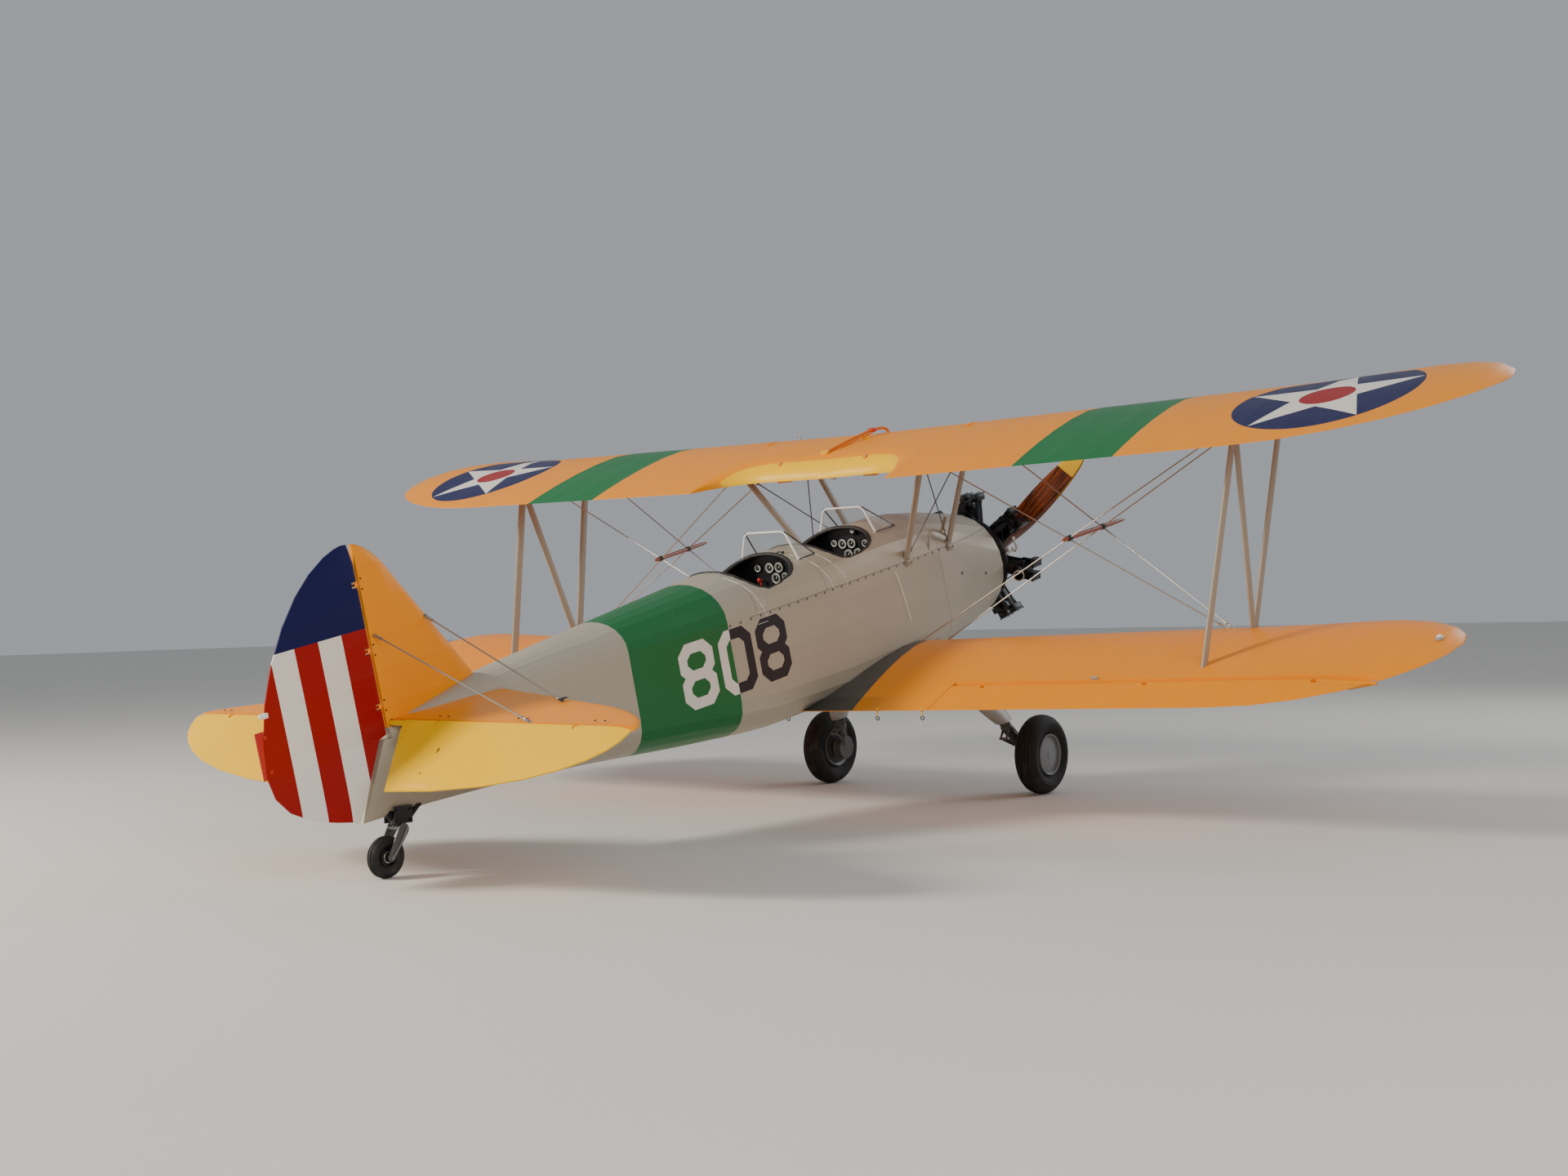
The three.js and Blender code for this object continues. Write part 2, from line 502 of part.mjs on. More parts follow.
// Wire ends: y at the struts' feet and tops, at the lower wing's root and at the cabanes; chord fractions
const WIRE_ENDS = {
  strutFootY: 3102, strutTopY: 3225, rootY: 580, cabaneFrontY: 900, cabaneRearY: 870,
  rearTop: 0.52, rearCabane: 0.626, bodySide: [-2220, 460, -620],
};
const closest = (a, b, c, d) => {
  const [u, v, w] = [b.clone().sub(a), d.clone().sub(c), a.clone().sub(c)];
  const [uu, uv, vv, uw, vw] = [u.dot(u), u.dot(v), v.dot(v), u.dot(w), v.dot(w)];
  const s = (uv * vw - vv * uw) / (uu * vv - uv * uv);
  const t = (uu * vw - uv * uw) / (uu * vv - uv * uv);
  return a.clone().addScaledVector(u, s).add(c.clone().addScaledVector(v, t)).divideScalar(2);
};
// Flying wires run up and out, landing wires up and in; a stick holds them apart where they cross
const rigging = (side) => {
  const [bodyX, bodyY, bodyZ] = WIRE_ENDS.bodySide;
  const low = (y, fraction) => wingPoint(LOWER, side, y, fraction, 20);
  const high = (y, fraction) => wingPoint(UPPER, side, y, fraction, 20);
  const front = {
    flying: [low(WIRE_ENDS.rootY, SPAR.front), high(WIRE_ENDS.strutTopY, SPAR.front)],
    landing: [high(WIRE_ENDS.cabaneFrontY, SPAR.front), low(WIRE_ENDS.strutFootY, SPAR.front)],
  };
  const rear = {
    flying: [vec(bodyX, side * bodyY, bodyZ), high(WIRE_ENDS.strutTopY, WIRE_ENDS.rearTop)],
    landing: [high(WIRE_ENDS.cabaneRearY, WIRE_ENDS.rearCabane), low(WIRE_ENDS.strutFootY, SPAR.front)],
  };
  const [ahead, behind] = [front, rear].map(({ flying, landing }) => closest(...flying, ...landing));
  const along = ahead.clone().sub(behind).normalize();
  const stick = bar(
    ahead.addScaledVector(along, WIRE.stickFront), behind.addScaledVector(along, -WIRE.stickRear),
    WIRE.stick, WIRE.stickThick,
  );
  const wires = [front.flying, front.landing, rear.flying, rear.landing]
    .map(([a, b]) => bar(a, b, WIRE.long, WIRE.thick, 6));
  return trimmed(join([stick, ...wires]));
};

// Undercarriage
const gearLeg = (side, grow = 0) => {
  const legRing = (x, y, z, long, thick) => Array.from({ length: 14 }, (_, k) => {
    const turn = (2 * PI * k) / 14;
    return vec(x + (long / 2 + grow) * cos(turn), side * (y + (thick / 2 + grow) * sin(turn)), z);
  });
  return largest(cut(loft([
    legRing(-1900, 430, -640, 330, 150), legRing(-1790, 520, -860, 320, 140),
    legRing(-1560, 760, -1290, 230, 110), legRing(-1530, 790, -1350 - grow, 190, 100),
  ]), ...lowerSkins(-GAP), ...lowerSkins(0), fuselageEnvelope));
};
const axle = (side) => {
  const hubY = side * MAIN.y;
  const inboard = side * (MAIN.y - 150);
  return cut(join([
    rod(vec(-1535, side * 785, -1355), vec(MAIN.x - 20, inboard, -1600), 74, 12),
    turned([[-22, 0], [-22, 96], [22, 96], [22, 0]], 20, 'y', [MAIN.x, inboard, MAIN.z]),
    rod(vec(MAIN.x, inboard, MAIN.z), vec(MAIN.x, hubY + side * 55, MAIN.z), 40, 24),
  ]), gearLeg(side, GAP));
};
const tyre = ({ radius, width, bead }, segments, centre) => {
  const half = width / 2;
  const wall = (radius - bead) * 0.5;
  const arc = Array.from({ length: 9 }, (_, k) => {
    const turn = -PI / 2 - 0.35 + ((PI + 0.7) * k) / 8;
    return [half * sin(turn), bead + wall + wall * cos(turn)];
  });
  return turned([...arc, [half * 0.6, bead], [-half * 0.6, bead], arc[0]], segments, 'y', centre);
};
const wheelDisc = ({ width, bead, bore }, side, segments, centre) => {
  const half = width * 0.36;
  const rim = bead - GAP;
  const [outer, inner] = [side * half, -side * half];
  return turned([
    [inner * 0.2, bore], [outer, bore], [outer, rim * 0.3], [outer * 0.75, rim * 0.86], [outer * 1.2, rim],
    [inner * 1.2, rim], [inner * 1.1, rim * 0.9], [inner * 0.2, rim * 0.84], [inner * 0.2, bore],
  ], segments, 'y', centre);
};

// Tail wheel: bracket under the stern, castoring fork, wheel
const UP = vec(sin(PARK_ANGLE), 0, cos(PARK_ANGLE)); // true vertical once parked
const AFT = vec(-cos(PARK_ANGLE), 0, sin(PARK_ANGLE));
const HUB = vec(TAIL.x, 0, TAIL.z);
const TRAIL = 82;
const swivelAt = (height) => HUB.clone().addScaledVector(AFT, -TRAIL).addScaledVector(UP, height);
const FORK_TOP = 172;
const upright = (low, high, radius, sides = 20) => rod(swivelAt(low), swivelAt(high), 2 * radius, sides);
const tailBracket = cut(join([
  upright(FORK_TOP + RUN, FORK_TOP + 70, 30),
  bar(swivelAt(FORK_TOP + 40), vec(-6480, 0, -395), 60, 44),
  bar(swivelAt(FORK_TOP + 40), vec(-6790, 0, -390), 70, 44),
]), fuselageEnvelope);
const forkArm = (side) => {
  const y = side * (TAIL.width / 2 + 14);
  const at = (height, aft) => swivelAt(height).addScaledVector(AFT, aft).setY(y);
  return join([
    pane([at(FORK_TOP - 34, -24), at(FORK_TOP - 34, 34), at(-20, TRAIL + 20), at(-20, TRAIL - 20)], 10),
    pane([at(FORK_TOP - 34, -24), at(FORK_TOP, -24), at(FORK_TOP, 34), at(FORK_TOP - 34, 34)], 10),
  ]);
};
const forkCrown = (() => {
  const at = (aft, side) => swivelAt(0).addScaledVector(AFT, aft).setY(side * (TAIL.width / 2 + 19));
  const level = (height) => [at(-24, 1), at(34, 1), at(34, -1), at(-24, -1)].map((p) => p.addScaledVector(UP, height));
  return loft([level(FORK_TOP - 30), level(FORK_TOP - 8)]);
})();
const tailFork = join([
  upright(FORK_TOP - 12, FORK_TOP, 30),
  forkCrown, forkArm(1), forkArm(-1),
  rod(HUB.clone().setY(-TAIL.width / 2 - 19), HUB.clone().setY(TAIL.width / 2 + 19), 20, 24),
]);

// Engine: seven cylinders on a crankcase, exhaust collector behind them
const cylinderParts = (k) => {
  const turn = (2 * PI * k) / ENGINE.cylinders;
  const spin = (geometry) => {
    geometry.rotateX(-turn);
    geometry.translate(ENGINE.x, 0, THRUST_Z);
    return solidOf(geometry);
  };
  const drum = (low, high, radius, sides = 12) => {
    const geometry = new THREE.CylinderGeometry(radius, radius, high - low, sides);
    geometry.rotateX(PI / 2);
    geometry.translate(0, 0, (low + high) / 2);
    return spin(geometry);
  };
  const box = (low, high) => {
    const geometry = new THREE.BoxGeometry(...high.map((v, i) => v - low[i]));
    geometry.translate(...high.map((v, i) => (v + low[i]) / 2));
    return spin(geometry);
  };
  const at = (x, y, r) => vec(x, y, r).applyAxisAngle(vec(1, 0, 0), -turn).add(vec(ENGINE.x, 0, THRUST_Z));
  const pushrod = (y) => rod(at(52, y, 176), at(92, y, 514), 22, 6);
  return [
    drum(ENGINE.caseRadius - 25, 440, ENGINE.barrel),
    box([-88, -84, 420], [88, 84, 500]),
    box([-30, -92, 480], [104, -24, ENGINE.radius]),
    box([-30, 24, 480], [104, 92, ENGINE.radius]),
    pushrod(46), pushrod(-46),
    rod(at(-116, 60, 150), at(-82, 60, 475), 42, 8),
  ];
};
const NOSE_END = -200;
const crankcase = turned([
  [STATIONS[0].x + GAP, 0], [STATIONS[0].x + GAP, 200], [-560, 215], [-520, 170], [-440, 170], [-425, ENGINE.caseRadius],
  [-240, ENGINE.caseRadius], [-228, 150], [NOSE_END, 110], [NOSE_END, 0],
], 28, 'x', [0, 0, THRUST_Z]);
const engine = join([crankcase, ...Array.from({ length: ENGINE.cylinders }, (_, k) => cylinderParts(k)).flat()]);
const COLLECTOR = { x: -500, radius: 350, tube: 72 };
const exhaust = (() => {
  const geometry = new THREE.TorusGeometry(COLLECTOR.radius, COLLECTOR.tube / 2, 8, 28);
  geometry.rotateY(PI / 2);
  geometry.translate(COLLECTOR.x, 0, THRUST_Z);
  const stubs = Array.from({ length: ENGINE.cylinders }, (_, k) => {
    const turn = (2 * PI * k) / ENGINE.cylinders;
    const at = (x, r) => vec(x, r * sin(turn), THRUST_Z + r * cos(turn));
    return rod(at(COLLECTOR.x, COLLECTOR.radius + 20), at(ENGINE.x - 60, 482), 44, 8);
  });
  const outlet = [vec(-480, -330, -330), vec(-470, -460, -372), vec(-640, -560, -385)];
  const pipe = join([rod(outlet[0], outlet[1], 80, 12), rod(outlet[1], outlet[2], 88, 12)]);
  const mouth = rod(outlet[1].clone().lerp(outlet[2], 0.35), vec(-680, -584, -388), 76, 12);
  const clearOfHeads = placed(engine, new THREE.Matrix4().makeTranslation(-GAP, 0, 0));
  return cut(join([solidOf(geometry), ...stubs, cut(pipe, mouth)]), clearOfHeads);
})();

// Propeller, turned about the thrust line; r along the blade, section as chord, thickness, pitch
const BLADE = [
  { r: 40, chord: 112, thick: 116, pitch: 62 }, { r: 160, chord: 146, thick: 88, pitch: 52 },
  { r: 330, chord: 196, thick: 52, pitch: 38 }, { r: 620, chord: 212, thick: 30, pitch: 26 },
  { r: 900, chord: 190, thick: 20, pitch: 20 }, { r: 1100, chord: 150, thick: 14, pitch: 17 },
  { r: 1200, chord: 108, thick: 11, pitch: 15 }, { r: 1245, chord: 36, thick: 8, pitch: 15 },
];
const bladeSolid = (half) => {
  const flip = half > 0 ? 0 : PI;
  const matrix = new THREE.Matrix4().makeTranslation(PROP.x, 0, THRUST_Z)
    .multiply(new THREE.Matrix4().makeRotationX(PI / 2 - PROP.angle * DEG + flip));
  return loft(BLADE.map(({ r, chord, thick, pitch }) => Array.from({ length: 12 }, (_, k) => {
    const turn = (2 * PI * k) / 12;
    const [c, t] = [(chord / 2) * cos(turn), (thick / 2) * sin(turn)];
    const [cp, sp] = [cos(pitch * DEG), sin(pitch * DEG)];
    return vec(c * sp + t * cp, -(c * cp - t * sp), r).applyMatrix4(matrix);
  })));
};
const hubProfile = (grow) => [
  [NOSE_END + RUN, 0], [NOSE_END + RUN, 34 + grow], [-160 - grow, 34 + grow], [-160 - grow, 102 + grow],
  [-142 + grow, 102 + grow], [-142 + grow, 34 + grow], [-4 - grow, 34 + grow], [-4 - grow, 96 + grow],
  [14, 96 + grow], [14, 40], [46, 34], [46, 0],
];
const boss = turned([[-142, 0], [-142, 112], [-4, 112], [-4, 0]], 24, 'x', [0, 0, THRUST_Z]);
const propeller = cut(
  join([boss, bladeSolid(1), bladeSolid(-1)]),
  turned(hubProfile(GAP), 20, 'x', [0, 0, THRUST_Z]),
);
const propellerHub = turned(hubProfile(0), 20, 'x', [0, 0, THRUST_Z]);

// Cockpit fittings
const windshield = (c) => {
  const hoopX = c.from + 42;
  const footX = hoopX + c.screen;
  const corners = (side) => ({
    top: vec(hoopX - 8, side * 180, 483),
    side: vec(hoopX + 6, side * 262, crownAt(hoopX, 262) - 4),
    foot: vec(footX, side * 262, crownAt(footX, 262) + 2),
  });
  const [l, r] = [corners(1), corners(-1)];
  const edges = [[l.top, r.top], [l.foot, r.foot], ...[l, r].flatMap((s) => [[s.top, s.side], [s.side, s.foot]])];
  const knobs = [l.top, r.top, l.side, r.side, l.foot, r.foot].map((p) => {
    const geometry = new THREE.SphereGeometry(7.5, 6, 4);
    geometry.translate(...p);
    return solidOf(geometry);
  });
  const bars = edges.map(([a, b]) => rod(a, b, 14, 6));
  const frame = cut(join([...bars, ...knobs]), fuselageEnvelope);
  const panes = [
    pane([l.top, r.top, r.foot, l.foot], 4), pane([l.top, l.side, l.foot], 4), pane([r.top, r.side, r.foot], 4),
  ];
  const glass = cut(join(panes), ...edges.map(([a, b]) => rod(a, b, 18, 6)), fuselageEnvelope);
  return { frame, glass: largest(glass) };
};
const cavityEnvelope = fuselageSolid(FIREWALL_X - 60, COCKPITS_END_X + 40, -WALL - GAP);
const instrumentPanel = (c) => {
  const sheet = block([c.panelX - 4, -420, -160], [c.panelX + 4, 420, 600]);
  const arch = loft([c.panelX - 10, c.panelX + 10].map((x) => Array.from({ length: 20 }, (_, k) => {
    const turn = (PI * k) / 19;
    return vec(x, 600 * cos(turn), -100 + 700 * sin(turn));
  })));
  return sheet.intersect(cavityEnvelope).intersect(arch);
};
const seat = (c) => {
  const low = FLOOR_Z + GAP;
  return join([
    block([c.seatX - 10, -190, -260], [c.seatX + 380, 190, -244]),
    block([c.seatX - 10, -190, -260], [c.seatX + 6, 190, 120]),
    block([c.seatX - 10, -206, -260], [c.seatX + 300, -188, -90]),
    block([c.seatX - 10, 188, -260], [c.seatX + 300, 206, -90]),
    ...[-150, 130].flatMap((y) => [40, 320].map((dx) => block([c.seatX + dx, y, low], [c.seatX + dx + 24, y + 24, -250]))),
  ]);
};
const controls = join([
  block([-3000, -22, FLOOR_Z + GAP], [-1900, 22, FLOOR_Z + 40]),
  ...COCKPITS.map((c) => rod(vec(c.from + 120, 0, FLOOR_Z + 30), vec(c.from - 60, 0, -120), 28, 10)),
  ...COCKPITS.map((c) => block([c.from + 80, -60, FLOOR_Z + GAP], [c.from + 150, 60, FLOOR_Z + 40])),
  block([-3000, -22, FLOOR_Z + GAP], [-2900, 22, FLOOR_Z + 40]),
]);

// Assembly
const TWO = [['port', 1], ['starboard', -1]];
addMesh('fuselage_nose_cowl', noseCowl, 'silver');
addMesh('fuselage_cockpits', cockpitHull, 'silver');
addMesh('fuselage_deck', cockpitDeck, 'silver');
addMesh('fuselage_rear', rearFuselage, 'silver');
addMesh('engine', engine, 'black');
addMesh('exhaust_collector', exhaust, 'black');
addMesh('propeller', propeller, 'wood');
addMesh('propeller_hub', propellerHub, 'steel');
addMesh('wing_upper_centre', upperCentre, 'yellow');
addMesh('controls', controls, 'black');
for (const c of COCKPITS) {
  const { frame, glass } = windshield(c);
  addMesh(`windshield_frame_${c.name}`, frame, 'white');
  addMesh(`windshield_glass_${c.name}`, glass, 'glass');
  addMesh(`instrument_panel_${c.name}`, instrumentPanel(c), 'black');
  addMesh(`seat_${c.name}`, seat(c), 'grey');
  addMesh(`coaming_${c.name}`, ringTube(openingRing(c, 0, crownAt), COAMING_R), 'leather');
}
const elevatorParts = TWO.map(([, side]) => elevatorHalf(side));
const elevatorFittings = elevatorParts.flatMap((p) => p.fittings);
const torqueTube = rod(vec(ELEVATOR.x, -ELEVATOR.inner - 10, ELEVATOR.z), vec(ELEVATOR.x, ELEVATOR.inner + 10, ELEVATOR.z), 32, 12);
const finEnvelope = finShape(GAP);
const fin = cut(join([finShape(0), ...rudderFittings.map((f) => f.fixed)]), fuselageEnvelope, torqueTubeHole);
addMesh('fin', fin, 'yellow');
addMesh('rudder', join([cut(rudderSolid, ...rudderFittings.map((f) => f.slot)), ...rudderFittings.map((f) => f.moving)]), 'rudder');
addMesh('elevators', join([
  cut(join(elevatorParts.map((p) => p.body)), ...elevatorFittings.map((f) => f.slot)),
  ...elevatorFittings.map((f) => placed(f.moving, droopMatrix)), torqueTube,
]), 'brightYellow');
addMesh('tail_wheel_bracket', tailBracket, 'steel');
addMesh('tail_wheel_fork', tailFork, 'steel');
addMesh('tail_wheel_tyre', tyre(TAIL, 20, [TAIL.x, 0, TAIL.z]), 'rubber');
addMesh('tail_wheel_rim', wheelDisc(TAIL, 1, 20, [TAIL.x, 0, TAIL.z]), 'rim');
TWO.forEach(([name, side], i) => {
  const { aileron, wing } = aileronParts(side);
  const outer = tipSpans(UPPER, 2400);
  addMesh(`wing_upper_${name}`, wingPanel(UPPER, side, [CENTRE_HALF + GAP / 2, ...outer]), 'yellow');
  addMesh(`wing_lower_${name}`, wing, 'yellow');
  addMesh(`aileron_${name}`, aileron, 'yellow');
  const fixed = elevatorParts[i].fittings.map((f) => f.fixed);
  addMesh(`stabilizer_${name}`, join([cut(stabilizerSolid(side), fuselageEnvelope, finEnvelope), ...fixed]), 'yellow');
  const ends = strutEnds(side);
  addMesh(`strut_front_${name}`, trimmed(bar(ends.frontFoot, ends.frontTop, 74, 30)), 'strut');
  const diagonal = bar(ends.frontFoot, ends.rearTop, 70, 28);
  const front = bar(ends.frontFoot, ends.frontTop, 74 + 2 * GAP, 30 + 2 * GAP);
  const rear = bar(ends.rearFoot, ends.rearTop, 74 + 2 * GAP, 30 + 2 * GAP);
  addMesh(`strut_rear_${name}`, trimmed(bar(ends.rearFoot, ends.rearTop, 74, 30)), 'strut');
  addMesh(`strut_diagonal_${name}`, trimmed(cut(diagonal, front, rear)), 'strut');
  for (const cabane of CABANES) {
    const [x, y, z] = cabane.foot;
    const top = wingPoint(UPPER, side, cabane.topY, cabane.fraction, 20);
    const foot = vec(x, side * y, z).lerp(top, CABANE_SUNK);
    addMesh(`cabane_${cabane.name}_${name}`, trimmed(bar(foot, top, 72, 32)), 'strut');
  }
  addMesh(`rigging_${name}`, rigging(side), 'steel');
  addMesh(`gear_leg_${name}`, gearLeg(side), 'silver');
  addMesh(`gear_axle_${name}`, axle(side), 'steel');
  const hub = [MAIN.x, side * MAIN.y, MAIN.z];
  addMesh(`main_tyre_${name}`, tyre(MAIN, 32, hub), 'rubber');
  addMesh(`main_rim_${name}`, wheelDisc(MAIN, side, 32, hub), 'rim');
});

aircraft.rotation.y = -PARK_ANGLE;
const group = new THREE.Group();
group.add(aircraft);
group.updateMatrixWorld(true);
const box = new THREE.Box3().setFromObject(group, true);
aircraft.position.set(-(box.min.x + box.max.x) / 2, 0, -box.min.z);
group.updateMatrixWorld(true);

export default group;
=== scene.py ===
# %% [markdown]
# # A two-seat training biplane
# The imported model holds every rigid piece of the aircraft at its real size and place. This lesson
# dresses it: doped fabric over ribs, a varnished wooden propeller, an open radial engine, wheels,
# cockpits and the many small fittings. The frame is loaded first, because all sizes come from it.
# All lengths are metres.

# %% Load the frame
import json
from math import atan2, cos, degrees, pi, radians, sin, sqrt
import bmesh
import bpy
from mathutils import Matrix, Vector
from mathutils.bvhtree import BVHTree

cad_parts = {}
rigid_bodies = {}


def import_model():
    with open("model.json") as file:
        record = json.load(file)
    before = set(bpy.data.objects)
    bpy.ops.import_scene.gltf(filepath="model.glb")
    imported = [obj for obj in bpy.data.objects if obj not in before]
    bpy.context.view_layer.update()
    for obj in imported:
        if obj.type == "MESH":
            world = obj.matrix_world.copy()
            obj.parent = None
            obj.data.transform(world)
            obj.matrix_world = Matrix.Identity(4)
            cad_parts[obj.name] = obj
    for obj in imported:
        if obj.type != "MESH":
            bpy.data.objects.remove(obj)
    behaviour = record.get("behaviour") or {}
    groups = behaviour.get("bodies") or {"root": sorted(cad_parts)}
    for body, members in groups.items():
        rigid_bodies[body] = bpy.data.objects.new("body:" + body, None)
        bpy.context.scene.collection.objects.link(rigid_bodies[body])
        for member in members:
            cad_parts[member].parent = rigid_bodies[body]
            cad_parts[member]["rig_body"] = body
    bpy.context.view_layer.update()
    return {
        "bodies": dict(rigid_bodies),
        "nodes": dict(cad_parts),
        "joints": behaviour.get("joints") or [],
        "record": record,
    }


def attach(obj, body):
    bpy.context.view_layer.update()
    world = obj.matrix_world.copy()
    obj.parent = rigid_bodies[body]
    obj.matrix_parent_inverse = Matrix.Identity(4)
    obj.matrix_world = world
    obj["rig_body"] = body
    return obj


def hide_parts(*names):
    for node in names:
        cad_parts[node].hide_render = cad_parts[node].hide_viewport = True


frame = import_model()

nodes = frame["nodes"]
joints = {joint["name"]: joint for joint in frame["joints"]}
SIDES = {"port": 1, "starboard": -1}
BOTH = (1, -1)

# %% [markdown]
# The aircraft stands on its tail wheel, so nothing on it is level. Every place below is easier to
# say in the flight frame: X forward along the thrust line, Y to port, Z up, with the propeller's
# middle plane at X = 0. The propeller's joint gives both the pitch and the place of that frame.

# %% Flight frame
THRUST_Z = -0.28
thrust = Vector(joints["propeller_spin"]["axis"]).normalized()
hub_place = Vector(joints["propeller_spin"]["pos_m"])
side_axis = Vector((0, 1, 0))
up_axis = thrust.cross(side_axis)
FLIGHT = Matrix((
    (thrust.x, side_axis.x, up_axis.x, 0),
    (thrust.y, side_axis.y, up_axis.y, 0),
    (thrust.z, side_axis.z, up_axis.z, 0),
    (0, 0, 0, 1),
))
FLIGHT.translation = hub_place - FLIGHT.to_3x3() @ Vector((0, 0, THRUST_Z))
TO_FLIGHT = FLIGHT.inverted()
print("nose up by", round(degrees(atan2(thrust.z, thrust.x)), 2), "degrees")

# %% [markdown]
# A wing is flat work done in its own frame: X ahead of the trailing edge, Y out along the span and
# Z square to both. Ribs, roundels and struts are all placed there, so one matrix per wing panel
# carries its incidence and its dihedral.

# %% Wing frames
CHORD = 1.524
UPPER = {"te": (-2.788, 0.757), "incidence": 4.03, "dihedral": 0.75}
LOWER = {"te": (-3.389, -0.764), "incidence": 2.99, "dihedral": 1.46}
RIB_PITCH = 0.31


def moved(place):
    return Matrix.Translation(place)


def spun(angle, axis):
    return Matrix.Rotation(angle, 4, axis)


def wing_frame(wing, side):
    turn = spun(radians(side * wing["dihedral"]), "X")
    tilt = spun(radians(-wing["incidence"]), "Y")
    return moved((wing["te"][0], 0, wing["te"][1])) @ turn @ tilt


def wing_point(wing, side, span, fraction, height=0.0):
    """A point in the flight frame, from its span, chord fraction and height over the chord line."""
    return wing_frame(wing, side) @ Vector((CHORD * (1 - fraction), side * span, height))


print("upper leading edge, in the middle", [round(v, 3) for v in wing_point(UPPER, 1, 0, 0)])

# %% [markdown]
# The camera stands behind the starboard tail, a little above eye height, and is turned and
# tilted as the photograph's was. Its place was worked out once from the wing tips, struts, wheels
# and tail, and is kept as a real place in the flight frame.

# %% Camera
IMAGE_WIDTH = 1920
FOCAL_PIXELS = 2161
CAMERA_PLACE = Vector((-12.807, -7.984, 2.024))
CAMERA_TURN = {"yaw": 39.04, "pitch": -8.86, "roll": -9.07}

yaw, pitch, roll = (radians(CAMERA_TURN[key]) for key in ("yaw", "pitch", "roll"))
ahead = Vector((cos(pitch) * cos(yaw), cos(pitch) * sin(yaw), sin(pitch)))
level_right = ahead.cross(Vector((0, 0, 1))).normalized()
level_up = level_right.cross(ahead)
camera_right = level_right * cos(roll) + level_up * sin(roll)
camera_up = level_up * cos(roll) - level_right * sin(roll)
camera_matrix = Matrix((camera_right, camera_up, -ahead)).transposed().to_4x4()
camera_matrix.translation = CAMERA_PLACE

camera = bpy.data.objects.new("camera", bpy.data.cameras.new("camera"))
camera.data.sensor_width = 36
camera.data.lens = FOCAL_PIXELS / IMAGE_WIDTH * camera.data.sensor_width
camera.data.clip_end = 300
camera.matrix_world = FLIGHT @ camera_matrix
bpy.context.scene.collection.objects.link(camera)
bpy.context.scene.camera = camera
print("camera height", round(camera.location.z, 3), "lens", round(camera.data.lens, 2))

# %% [markdown]
# Shader maths reads best as sums. A `Wire` wraps one socket, and adding or multiplying wires adds
# Math nodes behind the scenes. A `Finish` is one material: it makes any node from its type, its
# settings and its inputs, and holds the shader that they feed.

# %% Shader wires


def operator(operation):
    """A method that joins a wire and what it is combined with by one Math node."""

    def method(self, *others):
        return self.maths(operation, self, *others)

    return method


class Wire:
    """One output socket; arithmetic on it adds Math nodes to the finish that it belongs to."""

    def __init__(self, finish, socket):
        self.finish = finish
        self.socket = socket

    def maths(self, operation, *values):
        return self.finish.node("Math", {"operation": operation}, values)

    def __rsub__(self, other):
        return self.maths("SUBTRACT", other, self)

    __add__ = __radd__ = operator("ADD")
    __sub__ = operator("SUBTRACT")
    __mul__ = __rmul__ = operator("MULTIPLY")
    __truediv__ = operator("DIVIDE")
    __pow__ = operator("POWER")
    __abs__ = operator("ABSOLUTE")
    __gt__ = operator("GREATER_THAN")
    __lt__ = operator("LESS_THAN")


def linear(code):
    """A colour written as six hex digits, as Blender's linear light."""
    parts = [int(code[i:i + 2], 16) / 255 for i in (1, 3, 5)]
    return (*[v / 12.92 if v <= 0.04045 else ((v + 0.055) / 1.055) ** 2.4 for v in parts], 1)


print("mid grey as light", [round(v, 3) for v in linear("#808080")])

# %% [markdown]
# A finish places its patterns by real lengths, in the frame of the wing or the aircraft, so that
# stripes and ribs fall where they do on the real thing. Lines, waves and steps are the few recipes
# that everything else is drawn with. An unwrapped map would need a picture, and this needs none.

# %% Finish builder


